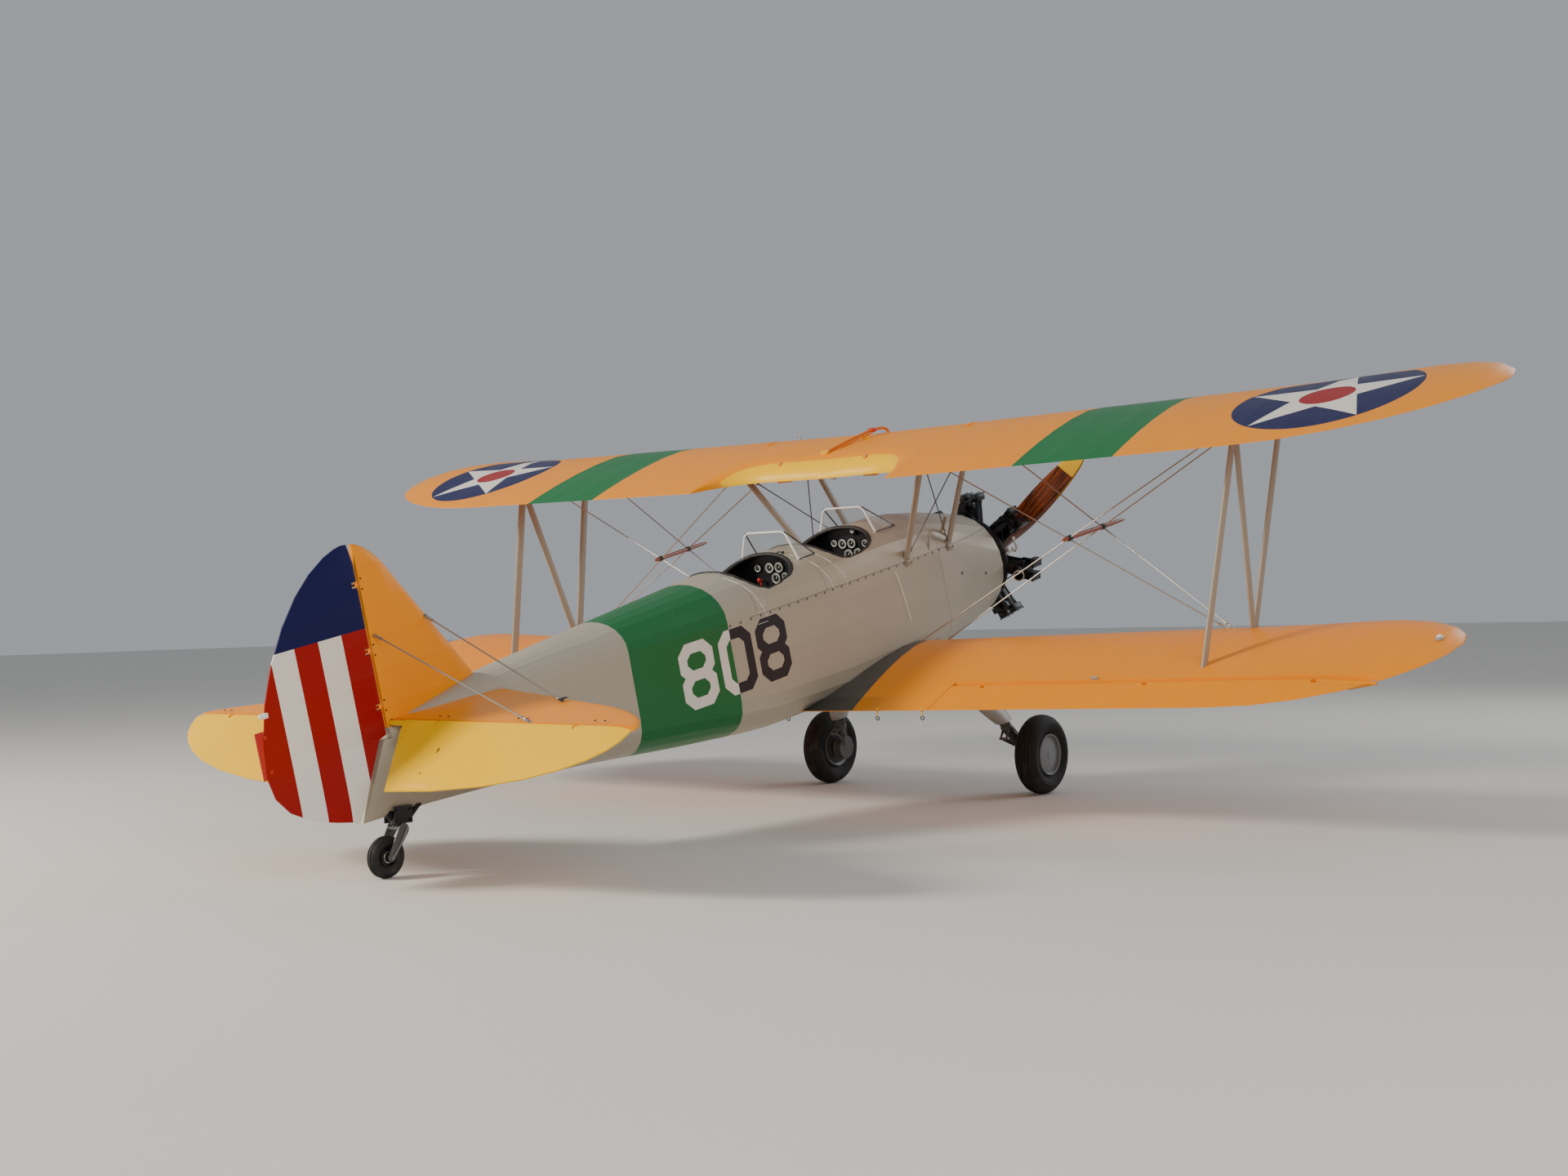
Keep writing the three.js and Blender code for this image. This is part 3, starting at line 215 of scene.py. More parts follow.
class Finish:
    """A material with one shader, and the few node recipes that this aircraft needs."""

    def __init__(self, name, **constants):
        self.material = bpy.data.materials.new(name)
        self.material.use_nodes = True
        self.tree = self.material.node_tree
        self.shader = self.tree.nodes["Principled BSDF"]
        for socket, value in constants.items():
            self.shader.inputs[socket.replace("_", " ")].default_value = value
        self.rest = self.node("TexCoord", out="Object")

    def node(self, kind, settings=None, inputs=(), out=0):
        made = self.tree.nodes.new("ShaderNode" + kind)
        for key, value in (settings or {}).items():
            setattr(made, key, value)
        pairs = inputs.items() if isinstance(inputs, dict) else enumerate(inputs)
        for key, value in pairs:
            if isinstance(value, Wire):
                self.tree.links.new(value.socket, made.inputs[key])
            else:
                made.inputs[key].default_value = value
        return Wire(self, made.outputs[out])

    def feed(self, socket, wire):
        self.tree.links.new(wire.socket, self.shader.inputs[socket])

    def placed(self, matrix):
        """Object coordinates as seen from another frame."""
        back = matrix.inverted()
        settings = {"Location": back.translation, "Rotation": back.to_euler()}
        return self.node("Mapping", None, {"Vector": self.rest, **settings})

    def axes(self, vector):
        split = self.node("SeparateXYZ", None, [vector])
        return [Wire(self, out) for out in split.socket.node.outputs]

    def noise(self, vector, scale, detail=3, stretch=None):
        if stretch:
            vector = self.node("Mapping", None, {"Vector": vector, "Scale": stretch})
        return self.node("TexNoise", None, {"Vector": vector, "Scale": scale, "Detail": detail})

    def step(self, value, low, high, to_low=0.0, to_high=1.0):
        smooth = {"interpolation_type": "SMOOTHSTEP"}
        return self.node("MapRange", smooth, [value, low, high, to_low, to_high])

    def wave(self, value, pitch):
        """Distance to the nearest of a row of lines."""
        return abs(self.node("Math", {"operation": "FRACT"}, [value / pitch + 500.5]) - 0.5) * pitch

    def line(self, distance, width):
        return 1 - self.step(distance, width * 0.4, width * 0.6)

    def mix(self, a, b, factor):
        return self.node("Mix", {"data_type": "RGBA"}, {0: factor, 6: a, 7: b}, out=2)

    def tint(self, colour, shade):
        multiply = {"data_type": "RGBA", "blend_type": "MULTIPLY"}
        return self.node("Mix", multiply, {0: 1.0, 6: colour, 7: shade}, out=2)

    def bump(self, height):
        relief = self.node("Bump", None, {"Strength": 1.0, "Distance": 1.0, "Height": height})
        self.feed("Normal", relief)


# %% [markdown]
# All the paint on the aircraft has flown: the tone drifts slowly from panel to panel, dust lies in
# thin streaks, and the gloss is uneven. One recipe gives that to any colour, so no surface is flat.

# %% Weathered paint
GRAIN_HEIGHT = 0.00015


def weather(finish, colour, at, amount=0.05, roughness=0.4, spread=0.12):
    drift = finish.noise(at, 1.3, 4)
    grain = finish.noise(at, 60, 3)
    shade = drift * (amount * 2.4) + grain * amount + (1 - 1.7 * amount)
    finish.feed("Base Color", finish.tint(colour, shade))
    finish.feed("Roughness", finish.noise(at, 9, 5) * spread + drift * spread + (roughness - spread))
    return grain


def weathered_paint(name, code, roughness, **constants):
    finish = Finish(name, **constants)
    grain = weather(finish, linear(code), finish.rest, 0.08, roughness)
    finish.bump(grain * GRAIN_HEIGHT)
    return finish


# colour, roughness and how metallic
PLAIN_PAINTS = {
    "strut_paint": ("#9d9482", 0.42, 0), "gear_paint": ("#a7a39a", 0.42, 0.2),
    "fitting_paint": ("#5d5d5c", 0.45, 0.4), "black_paint": ("#151619", 0.42, 0),
    "engine_black": ("#121316", 0.38, 0.15), "bare_steel": ("#9a9b9c", 0.3, 0.9),
    "drawn_wire": ("#a9a69c", 0.34, 0.75), "white_paint": ("#e9e7df", 0.35, 0),
    "red_paint": ("#c01d17", 0.35, 0), "rim_paint": ("#85888a", 0.45, 0.3),
    "brass": ("#b98a3a", 0.35, 0.9), "orange_paint": ("#d9700f", 0.35, 0),
    # This bright yellow is the filler cap's and the hooks' own colour, and painted sunlight on the elevator
    # tabs.
    "bright_and_sunlit_yellow": ("#f7b500", 0.35, 0), "seat_paint": ("#6b6a63", 0.5, 0.3),
}
PAINTS = {
    name: weathered_paint(name, code, roughness, Metallic=metallic)
    for name, (code, roughness, metallic) in PLAIN_PAINTS.items()
}
print("plain paints", len(PAINTS))

# %% [markdown]
# Doped fabric is shrunk tight over wooden ribs. Between ribs it sags a millimetre or two, and a
# pinked tape stands proud over every rib. Both are heights along the span, so one formula draws
# them for wings and tail alike, and the bump keeps them light.

# %% Fabric over ribs
WEAVE = 900


def fabric_height(finish, along, across, at, rib_pitch, sag=0.0022, covered=None):
    """Height of shrunk fabric; covered is 1 where ribs hold it and 0 over a hard edge."""
    near_rib = finish.wave(along, rib_pitch)
    dip = finish.step(near_rib, 0.0, rib_pitch / 2, 0.0, -sag)
    tape = finish.line(near_rib, 0.036) * 0.0007
    stitches = finish.line(near_rib, 0.007) * finish.line(finish.wave(across, 0.065), 0.014) * 0.0006
    height = dip + tape + stitches
    if covered is not None:
        height = height * covered
    return height + finish.noise(at, WEAVE, 1) * 0.00006


# Besides the wing yellow, a brighter yellow stands for that yellow in sunlight: it is painted sunlight on
# the elevators and on the cut-out's faces that look aft.
COLOURS = {
    "yellow": linear("#f09200"), "bright_and_sunlit_yellow": linear("#f4bc00"), "green": linear("#0b6a35"),
    "navy": linear("#12144a"), "white": linear("#e4dfd6"), "red": linear("#980e12"),
    "silver": linear("#aea593"), "grit": linear("#4d4c49"), "number": linear("#20222a"),
}
print("dope colours", len(COLOURS))

# %% [markdown]
# The upper wing carries a green band round each side and a disc with a five-pointed star, the
# traditional wing marking of its time. Folding the angle into one fifth of a turn makes the star a
# single straight edge, which a dot product tests.

# %% Wing markings
BAND = (1.934, 2.677)
DISC = {"span": 3.814, "chord": 0.756, "radius": 0.592}
CUTOUT_REACH = 0.86


def star_disc(finish, base, chord, span_out, on_top):
    across = span_out - DISC["span"]
    fore = chord - DISC["chord"]
    radius = (across * across + fore * fore) ** 0.5
    fifth = 2 * pi / 5
    angle = finish.wave(finish.node("Math", {"operation": "ARCTAN2"}, [across, fore]), fifth)
    cosine = finish.node("Math", {"operation": "COSINE"}, [angle])
    sine = finish.node("Math", {"operation": "SINE"}, [angle])
    tip = DISC["radius"] * 0.985
    dip = tip * 0.382
    edge = radius * (cosine * (dip * sin(pi / 5)) + sine * (tip - dip * cos(pi / 5)))
    star = edge < tip * dip * sin(pi / 5)
    colour = finish.mix(base, COLOURS["navy"], (radius < DISC["radius"]) * on_top)
    colour = finish.mix(colour, COLOURS["white"], star * on_top)
    return finish.mix(colour, COLOURS["red"], (radius < tip * 0.3) * on_top)


print("disc", 2 * DISC["radius"], "across, band", round(BAND[1] - BAND[0], 3), "wide")

# %% [markdown]
# A wing's finish is its colour, its marking, the fabric's relief and the dust on it. The disc is on
# top of the upper wing and under the lower one, so the surface's own direction decides. The lower
# wing has a dark walkway of grit by the fuselage. On the upper one, the faces of the cut-out that
# look aft get a brighter yellow, which is painted sunlight on them.

# %% Wing finishes


def wing_finish(name, wing, side):
    finish = Finish(name, Specular_IOR_Level=0.2, Coat_Roughness=0.2)
    at = finish.placed(FLIGHT @ wing_frame(wing, side))
    chord, span, _ = finish.axes(at)
    aft, _, upward = finish.axes(finish.node("TexCoord", out="Normal"))
    span_out = span * side
    colour = COLOURS["yellow"]
    if wing is UPPER:
        band = (span_out > BAND[0]) * (span_out < BAND[1])
        colour = finish.mix(colour, COLOURS["green"], band)
        colour = star_disc(finish, colour, chord, span_out, upward > 0)
        # Painted sunlight: the cut-out's faces that look aft get a brighter yellow than the rest of the
        # wing.
        sunlit_cut_edge = (aft < -0.62) * (abs(span) < CUTOUT_REACH)
        colour = finish.mix(colour, COLOURS["bright_and_sunlit_yellow"], sunlit_cut_edge)
    else:
        colour = star_disc(finish, colour, chord, span_out, upward < -0.85)
    covered = finish.step(chord, 0.02, 0.06) * finish.step(chord, 1.2, 1.4, 1.0, 0.12)
    relief = fabric_height(finish, span, chord, at, RIB_PITCH, covered=covered)
    if wing is LOWER:
        walked = (span_out < 0.77 - chord * 0.157) * (upward > 0)
        grit = finish.noise(at, 420, 3)
        specks = finish.node("TexVoronoi", None, {"Vector": at, "Scale": 90}) < 0.09
        grey = finish.mix(COLOURS["grit"], COLOURS["white"], specks * (finish.noise(at, 7, 2) > 0.56))
        colour = finish.mix(colour, finish.tint(grey, grit + 0.5), walked)
        relief = relief + grit * walked * 0.0012
        finish.feed("Coat Weight", (1 - walked) * 0.05)
    dust = finish.noise(at, 5, 5, stretch=(0.35, 3, 1))
    colour = finish.tint(colour, dust * 0.1 + 0.94)
    weather(finish, colour, at, 0.04, 0.36)
    finish.bump(relief)
    return finish


WING_FINISHES = {
    (key, side): wing_finish(f"wing_{key}_{name}", wing, side)
    for key, wing in (("upper", UPPER), ("lower", LOWER))
    for name, side in SIDES.items()
}
print("wing finishes", len(WING_FINISHES))

# %% [markdown]
# The tail's ribs run fore and aft too, but closer together. The rudder has a navy cap above five
# upright bands of red and white, measured aft from its hinge line.

# %% Tail finishes
HINGE_X = -6.72
STRIPE = 0.155
CAP_Z = 0.652


def tail_finish(name, colour, along, rib_pitch, painted=None):
    finish = Finish(name, Specular_IOR_Level=0.2, Coat_Weight=0.05, Coat_Roughness=0.2)
    at = finish.placed(FLIGHT)
    places = dict(zip("xyz", finish.axes(at)))
    if painted:
        colour = painted(finish, places)
    weather(finish, colour, at, 0.04, 0.36)
    finish.bump(fabric_height(finish, places[along], places["x"], at, rib_pitch, sag=0.0012))
    return finish


def rudder_paint(finish, places):
    aft = HINGE_X - places["x"]
    in_white = finish.wave(aft - STRIPE * 1.5, STRIPE * 2) < STRIPE / 2
    white = in_white * (aft < STRIPE * 4) * (aft > STRIPE / 2)
    colour = finish.mix(COLOURS["red"], COLOURS["white"], white)
    return finish.mix(colour, COLOURS["navy"], places["z"] > CAP_Z)


FIN = tail_finish("fin_fabric", COLOURS["yellow"], "z", 0.2)
RUDDER = tail_finish("rudder_fabric", None, "z", 0.19, rudder_paint)
STABILIZER = tail_finish("stabilizer_fabric", COLOURS["yellow"], "y", 0.24)
# The elevators are the stabilizer's yellow; the brighter yellow here is painted sunlight on them, as they
# look aft.
SUNLIT_ELEVATOR = tail_finish("elevator_sunlit_fabric", COLOURS["bright_and_sunlit_yellow"], "y", 0.24)
print("one rudder stripe is", STRIPE, "wide")

# %% [markdown]
# The fuselage wears silver dope, on fabric over stringers behind and on sheet metal in front. The
# stringer facets are in the mesh. The finish adds the panel seams, drawn as narrow sunk lines at
# their stations, and the green band. Inside the cockpit tub it paints shade: faces that look inward
# are made near black.

# %% Fuselage finish
GREEN_BAND = (-4.95, -4.07)
SEAM_Z = 0.032
SEAM_WIDTH = 0.005
DECK_SEAMS = [-1.56, -3.02, -3.78]
SIDE_SEAMS = [-1.56]
TUB = (-3.83, -1.56)
NUMBER = {"z": -0.22, "half_width": 0.155, "half_height": 0.22, "stroke": 0.072, "chamfer": 0.07}
DIGITS = [(-4.4, "8"), (-4.035, "0"), (-3.683, "8")]


def octagon(across, up, half_width, half_height, chamfer):
    inside = (abs(across) < half_width) * (abs(up) < half_height)
    return inside * (abs(across) + abs(up) < half_width + half_height - chamfer)


def digit_ring(x, z, middle, half_height):
    """One closed loop of a block digit: an octagon with a smaller one taken out."""
    across, up = x - middle[0], z - middle[1]
    width, stroke, chamfer = NUMBER["half_width"], NUMBER["stroke"], NUMBER["chamfer"]
    outer = octagon(across, up, width, half_height, chamfer)
    inner = octagon(across, up, width - stroke, half_height - stroke, chamfer * 0.55)
    return outer * (1 - inner)


def digit_loops(digit):
    """How far each loop's middle is lifted, and half of the loop's height."""
    half, half_stroke = NUMBER["half_height"], NUMBER["stroke"] / 2
    if digit == "0":
        return [(0, half)]
    return [(way * (half - half_stroke) / 2, (half + half_stroke) / 2) for way in (1, -1)]


def side_number(x, z):
    """The number reads the same from both sides, because its digits are symmetrical."""
    mark = None
    for place, digit in DIGITS:
        for lift, half_height in digit_loops(digit):
            ring = digit_ring(x, z, (place, NUMBER["z"] + lift), half_height)
            mark = ring if mark is None else x.maths("MAXIMUM", mark, ring)
    return mark


def fuselage_finish(name):
    finish = Finish(name, Metallic=0.22, Coat_Weight=0.08, Coat_Roughness=0.25)
    at = finish.placed(FLIGHT)
    x, y, z = finish.axes(at)
    band = (x > GREEN_BAND[0]) * (x < GREEN_BAND[1])
    colour = finish.mix(COLOURS["silver"], COLOURS["green"], band)
    number = side_number(x, z) * (abs(y) > 0.2)
    colour = finish.mix(colour, finish.mix(COLOURS["number"], COLOURS["white"], band), number)
    _, out_y, out_z = finish.axes(finish.node("TexCoord", out="Normal"))
    # Painted shade: faces inside the cockpit tub that look inward go near black.
    painted_tub_shade = (out_y * y + out_z * (z + 0.15) < 0) * (x > TUB[0]) * (x < TUB[1])
    ahead_of_band = x > -3.86
    seam = finish.line(abs(z - SEAM_Z), SEAM_WIDTH) * ahead_of_band
    for station in DECK_SEAMS:
        seam = seam + finish.line(abs(x - station), SEAM_WIDTH) * (z > SEAM_Z)
    for station in SIDE_SEAMS:
        seam = seam + finish.line(abs(x - station), SEAM_WIDTH) * (z < SEAM_Z)
    seam = finish.node("Math", {"operation": "MINIMUM"}, [seam, 1.0])
    streaks = finish.noise(at, 6, 5, stretch=(0.25, 1, 1.6))
    colour = finish.tint(colour, streaks * 0.16 + 0.92)
    colour = finish.tint(colour, 1 - seam * 0.5)
    colour = finish.mix(colour, linear("#151613"), painted_tub_shade)
    grain = weather(finish, colour, at, 0.05, 0.44)
    waves = finish.noise(at, 3.2, 1) * 0.003
    finish.bump(waves - seam * 0.0012 + grain * 0.0001 + finish.noise(at, WEAVE, 1) * 0.00004)
    return finish


SILVER = fuselage_finish("silver_dope")
print("the fuselage is drawn by", len(SILVER.tree.nodes), "shader nodes")

# %% [markdown]
# Rubber and leather are dull and worn. Dust lies on tyre rubber in soft patches, and old leather is
# creased into small cells, which a cell pattern's edges draw well.

# %% Rubber and leather


def rubber_finish(name):
    finish = Finish(name)
    dust = finish.noise(finish.rest, 14, 5)
    fine = finish.noise(finish.rest, 240, 2)
    dusty = finish.step(dust, 0.5, 0.75, 0, 0.55)
    finish.feed("Base Color", finish.mix(linear("#161514"), linear("#4a443c"), dusty))
    finish.feed("Roughness", dust * 0.25 + 0.62)
    finish.bump(fine * 0.0003)
    return finish


def leather_finish(name, code):
    finish = Finish(name, Coat_Weight=0.1)
    cells = {"Vector": finish.rest, "Scale": 160}
    to_edge = finish.node("TexVoronoi", {"feature": "DISTANCE_TO_EDGE"}, cells)
    crease = finish.step(to_edge, 0.0, 0.12)
    wear = finish.noise(finish.rest, 11, 4)
    worn = finish.step(wear, 0.55, 0.8, 0, 0.5)
    finish.feed("Base Color", finish.mix(linear(code), linear("#4b4038"), worn))
    finish.feed("Roughness", wear * 0.2 + 0.42)
    finish.bump(crease * 0.0004 + wear * 0.001)
    return finish


RUBBER = rubber_finish("tyre_rubber")
LEATHER = leather_finish("coaming_leather", "#17130f")
CANVAS = leather_finish("seat_canvas", "#4d4a35")
print("soft finishes", [soft.material.name for soft in (RUBBER, LEATHER, CANVAS)])

# %% [markdown]
# The propeller is glued up from boards, so thin dark glue lines run along each blade, and the grain
# is stretched along it. The pattern lives in the blade's own frame, with Z along the blades, so it
# turns with them. The tips are painted yellow under the varnish.

# %% Propeller wood
BLADE_ANGLE = radians(39.1)
BLADE_PLANE_X = -0.07
blade_middle = FLIGHT @ moved((BLADE_PLANE_X, 0, THRUST_Z))
blade_frame = blade_middle @ spun(pi / 2 - BLADE_ANGLE, "X")
TIP_PAINT = 1.02


def propeller_finish(name):
    finish = Finish(name, Coat_Weight=0.7, Coat_Roughness=0.12)
    at = finish.placed(blade_frame)
    x, _, z = finish.axes(at)
    bend = finish.noise(at, 3, 2, stretch=(1, 1, 0.3)) * 0.012
    ply = finish.wave(x + bend, 0.019)
    figure = finish.noise(at, 55, 4, stretch=(1, 1, 0.05))
    wood = finish.mix(linear("#4a1c0b"), linear("#8f4218"), finish.step(figure, 0.35, 0.68))
    wood = finish.mix(wood, linear("#2c0f06"), finish.line(ply, 0.003) * 0.7)
    colour = finish.mix(wood, linear("#e8b52a"), abs(z) > TIP_PAINT)
    weather(finish, colour, at, 0.05, 0.32)
    finish.bump(figure * 0.0002)
    return finish


WOOD = propeller_finish("propeller_wood")


def spindle_finish(name):
    finish = Finish(name, Coat_Weight=0.4)
    figure = finish.noise(finish.rest, 80, 3)
    finish.feed("Base Color", finish.mix(linear("#6b2a17"), linear("#a8552f"), figure))
    finish.feed("Roughness", figure * 0.2 + 0.3)
    return finish


SPINDLE_WOOD = spindle_finish("spreader_wood")
print("blades stand", round(degrees(BLADE_ANGLE), 1), "degrees from level")

# %% [markdown]
# The windshields are thin flat panes, a little greasy. A clear shader with low alpha shows what is
# behind them without the noise that bent light would bring.

# %% Windshield glass
GLASS = Finish("windshield_glass", Alpha=0.16, Base_Color=(0.55, 0.6, 0.62, 1))
GLASS.feed("Roughness", GLASS.noise(GLASS.rest, 20, 4) * 0.08)
print("finishes so far", len(bpy.data.materials))

# %% [markdown]
# A piece is a bmesh made in the flight frame. `finish_piece` puts it in place, marks the edges that
# turn sharply so that the rest shades smoothly, gives it a finish, and lets it ride on its body.
# `dress` does the same with a welded copy of a solid of the model.

# %% Piece maker
triangle_total = 0


def shade_by_angle(bm, limit):
    for face in bm.faces:
        face.smooth = True
    for edge in bm.edges:
        edge.smooth = len(edge.link_faces) == 2 and edge.calc_face_angle(0) < radians(limit)


def finish_piece(name, bm, finish, body, replaces=(), limit=32, in_flight=True):
    global triangle_total
    if in_flight:
        bm.transform(FLIGHT)
    shade_by_angle(bm, limit)
    mesh = bpy.data.meshes.new(name)
    bm.to_mesh(mesh)
    bm.free()
    made = bpy.data.objects.new(name, mesh)
    bpy.context.scene.collection.objects.link(made)
    mesh.materials.append(finish.material)
    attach(made, body)
    if replaces:
        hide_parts(*replaces)
    triangles = sum(len(face.vertices) - 2 for face in mesh.polygons)
    triangle_total += triangles
    print(name, triangles, "triangles")
    return made


def welded_copy(node):
    bm = bmesh.new()
    bm.from_mesh(nodes[node].data)
    bmesh.ops.remove_doubles(bm, verts=bm.verts, dist=2e-5)
    bmesh.ops.dissolve_degenerate(bm, edges=bm.edges, dist=1e-5)
    return bm


def dress(node, finish, limit=32):
    """A smoothly shaded copy of a solid, with a finish, in the solid's place."""
    bm = welded_copy(node)
    body = nodes[node]["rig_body"]
    return finish_piece(f"{node}_skin", bm, finish, body, [node], limit, in_flight=False)


# %% [markdown]
# Small parts are turned, cut from bar or bent from tube, so a few helpers copy those trades. A drum
# is a turned bar and a slab is a block with broken edges. Edges are always broken a little, because
# real ones catch the light.

# %% Bars, blocks and balls


def facing(direction, place=(0, 0, 0)):
    """A frame at a place, with its Z axis along a direction."""
    turn = Vector(direction).to_track_quat("Z", "Y").to_matrix().to_4x4()
    return moved(place) @ turn


def break_edges(bm, edges, width):
    bmesh.ops.bevel(
        bm, geom=list(dict.fromkeys(edges)), offset=width, offset_type="OFFSET",
        affect="EDGES", segments=2, profile=0.5, material=-1,
    )


def drum(bm, start, end, radius, end_radius=None, sides=16, bevel=0.0):
    """A turned bar between two points, straight or tapered."""
    start, end = Vector(start), Vector(end)
    made = bmesh.ops.create_cone(
        bm, cap_ends=True, segments=sides, depth=(end - start).length, radius1=radius,
        radius2=radius if end_radius is None else end_radius,
        matrix=facing(end - start, (start + end) / 2),
    )
    if bevel:
        caps = [face for vert in made["verts"] for face in vert.link_faces if len(face.verts) == sides]
        break_edges(bm, [edge for face in caps for edge in face.edges], bevel)


def slab(bm, place, size, bevel=0.002):
    """A block round a point or a frame, with its edges broken."""
    frame = place if isinstance(place, Matrix) else moved(place)
    made = bmesh.ops.create_cube(bm, size=1, matrix=frame @ Matrix.Diagonal((*size, 1)))
    break_edges(bm, [edge for vert in made["verts"] for edge in vert.link_edges], bevel)


def ball(bm, place, radius, stretch=(1, 1, 1), sides=12):
    matrix = moved(place) @ Matrix.Diagonal((*stretch, 1))
    bmesh.ops.create_uvsphere(bm, u_segments=sides, v_segments=sides // 2 + 1, radius=radius, matrix=matrix)


print("shape helpers", [tool.__name__ for tool in (drum, slab, ball)])

# %% [markdown]
# A form that repeats is made once as a pattern and stamped wherever it is needed. A lathe turns any
# outline about an axis, and a skin runs through rings, for forms that no lathe can turn.

# %% Patterns, lathe and skin


def pattern(bm):
    """A finished shape, kept to be stamped."""
    bmesh.ops.recalc_face_normals(bm, faces=bm.faces)
    mesh = bpy.data.meshes.new("pattern")
    bm.to_mesh(mesh)
    bm.free()
    return mesh


def stamp(bm, mesh, place):
    copy = mesh.copy()
    copy.transform(place)
    bm.from_mesh(copy)
    bpy.data.meshes.remove(copy)


def lathe(bm, outline, place, sides=32):
    """Turns an outline of (along, radius) pairs about the frame's Z axis."""
    turned = bmesh.new()
    verts = [turned.verts.new((radius, 0, along)) for along, radius in outline]
    edges = [turned.edges.new(pair) for pair in zip(verts, verts[1:])]
    bmesh.ops.spin(
        turned, geom=verts + edges, cent=(0, 0, 0), axis=(0, 0, 1),
        angle=2 * pi, steps=sides, use_merge=True,
    )
    bmesh.ops.remove_doubles(turned, verts=turned.verts, dist=1e-5)
    stamp(bm, pattern(turned), place)


def skin_rings(bm, frames, sides, closed=False):
    """A skin through circles of radius 1, each in a frame that sizes and turns it."""
    rings = []
    for i, ring_frame in enumerate(frames):
        capped = not closed and i in (0, len(frames) - 1)
        made = bmesh.ops.create_circle(bm, cap_ends=capped, segments=sides, radius=1, matrix=ring_frame)
        rings.append(list(dict.fromkeys(edge for vert in made["verts"] for edge in vert.link_edges)))
    for near, far in zip(rings, rings[1:] + rings[:1] if closed else rings[1:]):
        bmesh.ops.bridge_loops(bm, edges=near + far)


print("shape helpers", [tool.__name__ for tool in (stamp, lathe, skin_rings)])

# %% [markdown]
# A tube is a skin through circles along a path, and a bent tube first smooths its path. A curve
# object would give the same tube, but this one stays a bmesh and joins other shapes in one piece.

# %% Tubes


def smooth_rows(rows, steps):
    """Rows of numbers on a smooth curve through the given rows."""
    rows = [Vector(row) for row in rows]
    padded = [rows[0] * 2 - rows[1], *rows, rows[-1] * 2 - rows[-2]]
    made = []
    for a, b, c, d in zip(padded, padded[1:], padded[2:], padded[3:]):
        for t in (step / steps for step in range(steps)):
            slope = (c - a) * (t / 2)
            square = (a * 2 - b * 5 + c * 4 - d) * (t * t / 2)
            cube = (b * 3 - a - c * 3 + d) * (t ** 3 / 2)
            made.append(b + slope + square + cube)
    return [*made, rows[-1]]


def tube(bm, path, radius, sides=8, closed=False):
    """A tube along a path; radius is one number, or one for each point."""
    path = [Vector(point) for point in path]
    radii = radius if isinstance(radius, list) else [radius] * len(path)
    frames = []
    for i, (point, size) in enumerate(zip(path, radii)):
        before = path[i - 1] if closed or i else point
        after = path[(i + 1) % len(path)] if closed or i < len(path) - 1 else point
        frames.append(facing(after - before, point) @ Matrix.Scale(size, 4))
    skin_rings(bm, frames, sides, closed)


def bent_tube(bm, points, radius, sides=8, steps=5):
    tube(bm, smooth_rows(points, steps), radius, sides)


def piece(name, bm, finish, body="airframe", replaces=(), limit=35):
    bmesh.ops.recalc_face_normals(bm, faces=bm.faces)
    return finish_piece(name, bm, finish, body, replaces, limit)


print("a bend of two rows has", len(smooth_rows([(0, 0, 0), (1, 0, 0)], 5)), "points")

# %% [markdown]
# Bolts and screws repeat hundreds of times, so each is made once at a radius of 1, as drums on top
# of each other: washer, head and the thread's end. A stamp sizes it and stands it on a surface.
# Rounding the heads would cost faces that nobody sees at this scale.

# %% Fastener patterns


def stacked_drums(levels):
    """A pattern made of (bottom, top, radius, top radius, sides) drums on top of each other."""
    bm = bmesh.new()
    for bottom, top, radius, top_radius, sides in levels:
        drum(bm, (0, 0, bottom), (0, 0, top), radius, top_radius, sides)
    return pattern(bm)


HEX_BOLT = stacked_drums([(-0.3, 0.15, 1.3, 1.3, 12), (0.15, 0.9, 1.0, 1.0, 6), (0.9, 1.4, 0.5, 0.42, 8)])
DOME_SCREW = stacked_drums([(-0.3, 0.18, 1.0, 1.0, 12), (0.18, 0.42, 0.92, 0.45, 12)])


def fasten(bm, mesh, place, direction, size):
    stamp(bm, mesh, facing(direction, place) @ Matrix.Scale(size, 4))


def bolt_circle(bm, frame, radius, count, size, mesh=HEX_BOLT):
    """Fasteners on a circle round the frame's Z axis, standing along it."""
    for k in range(count):
        turn = 2 * pi * (k + 0.5) / count
        spot = moved((radius * cos(turn), radius * sin(turn), 0))
        stamp(bm, mesh, frame @ spot @ Matrix.Scale(size, 4))


print("bolt pattern", len(HEX_BOLT.vertices), "points, screw pattern", len(DOME_SCREW.vertices), "points")

# %% [markdown]
# The radial engine has seven air-cooled cylinders, and its look is all fins. Turning one outline
# with a notch for each fin makes a barrel in a single closed form. One cylinder is built on the
# frame's Z axis with its rocker boxes, pushrod tubes, intake pipe and plugs, and then stamped round
# the crankcase seven times.

# %% Barrel and valve gear
ENGINE_X = -0.33
CYLINDERS = 7
BARREL = {"low": 0.212, "high": 0.425, "root": 0.061, "tip": 0.0755, "fins": 19}
HEAD = {"low": 0.422, "high": 0.492, "root": 0.068, "tip": 0.086, "fins": 6}
FIN_STEPS = ((0.3, "root"), (0.4, "tip"), (0.6, "tip"), (0.7, "root"))
VALVE_Y = 0.058
ROCKER_X = 0.037
ROCKER_BOLT = {"x": (-0.025, 0.099), "y": (-0.028, 0.028), "z": 0.5455, "size": 0.0048}


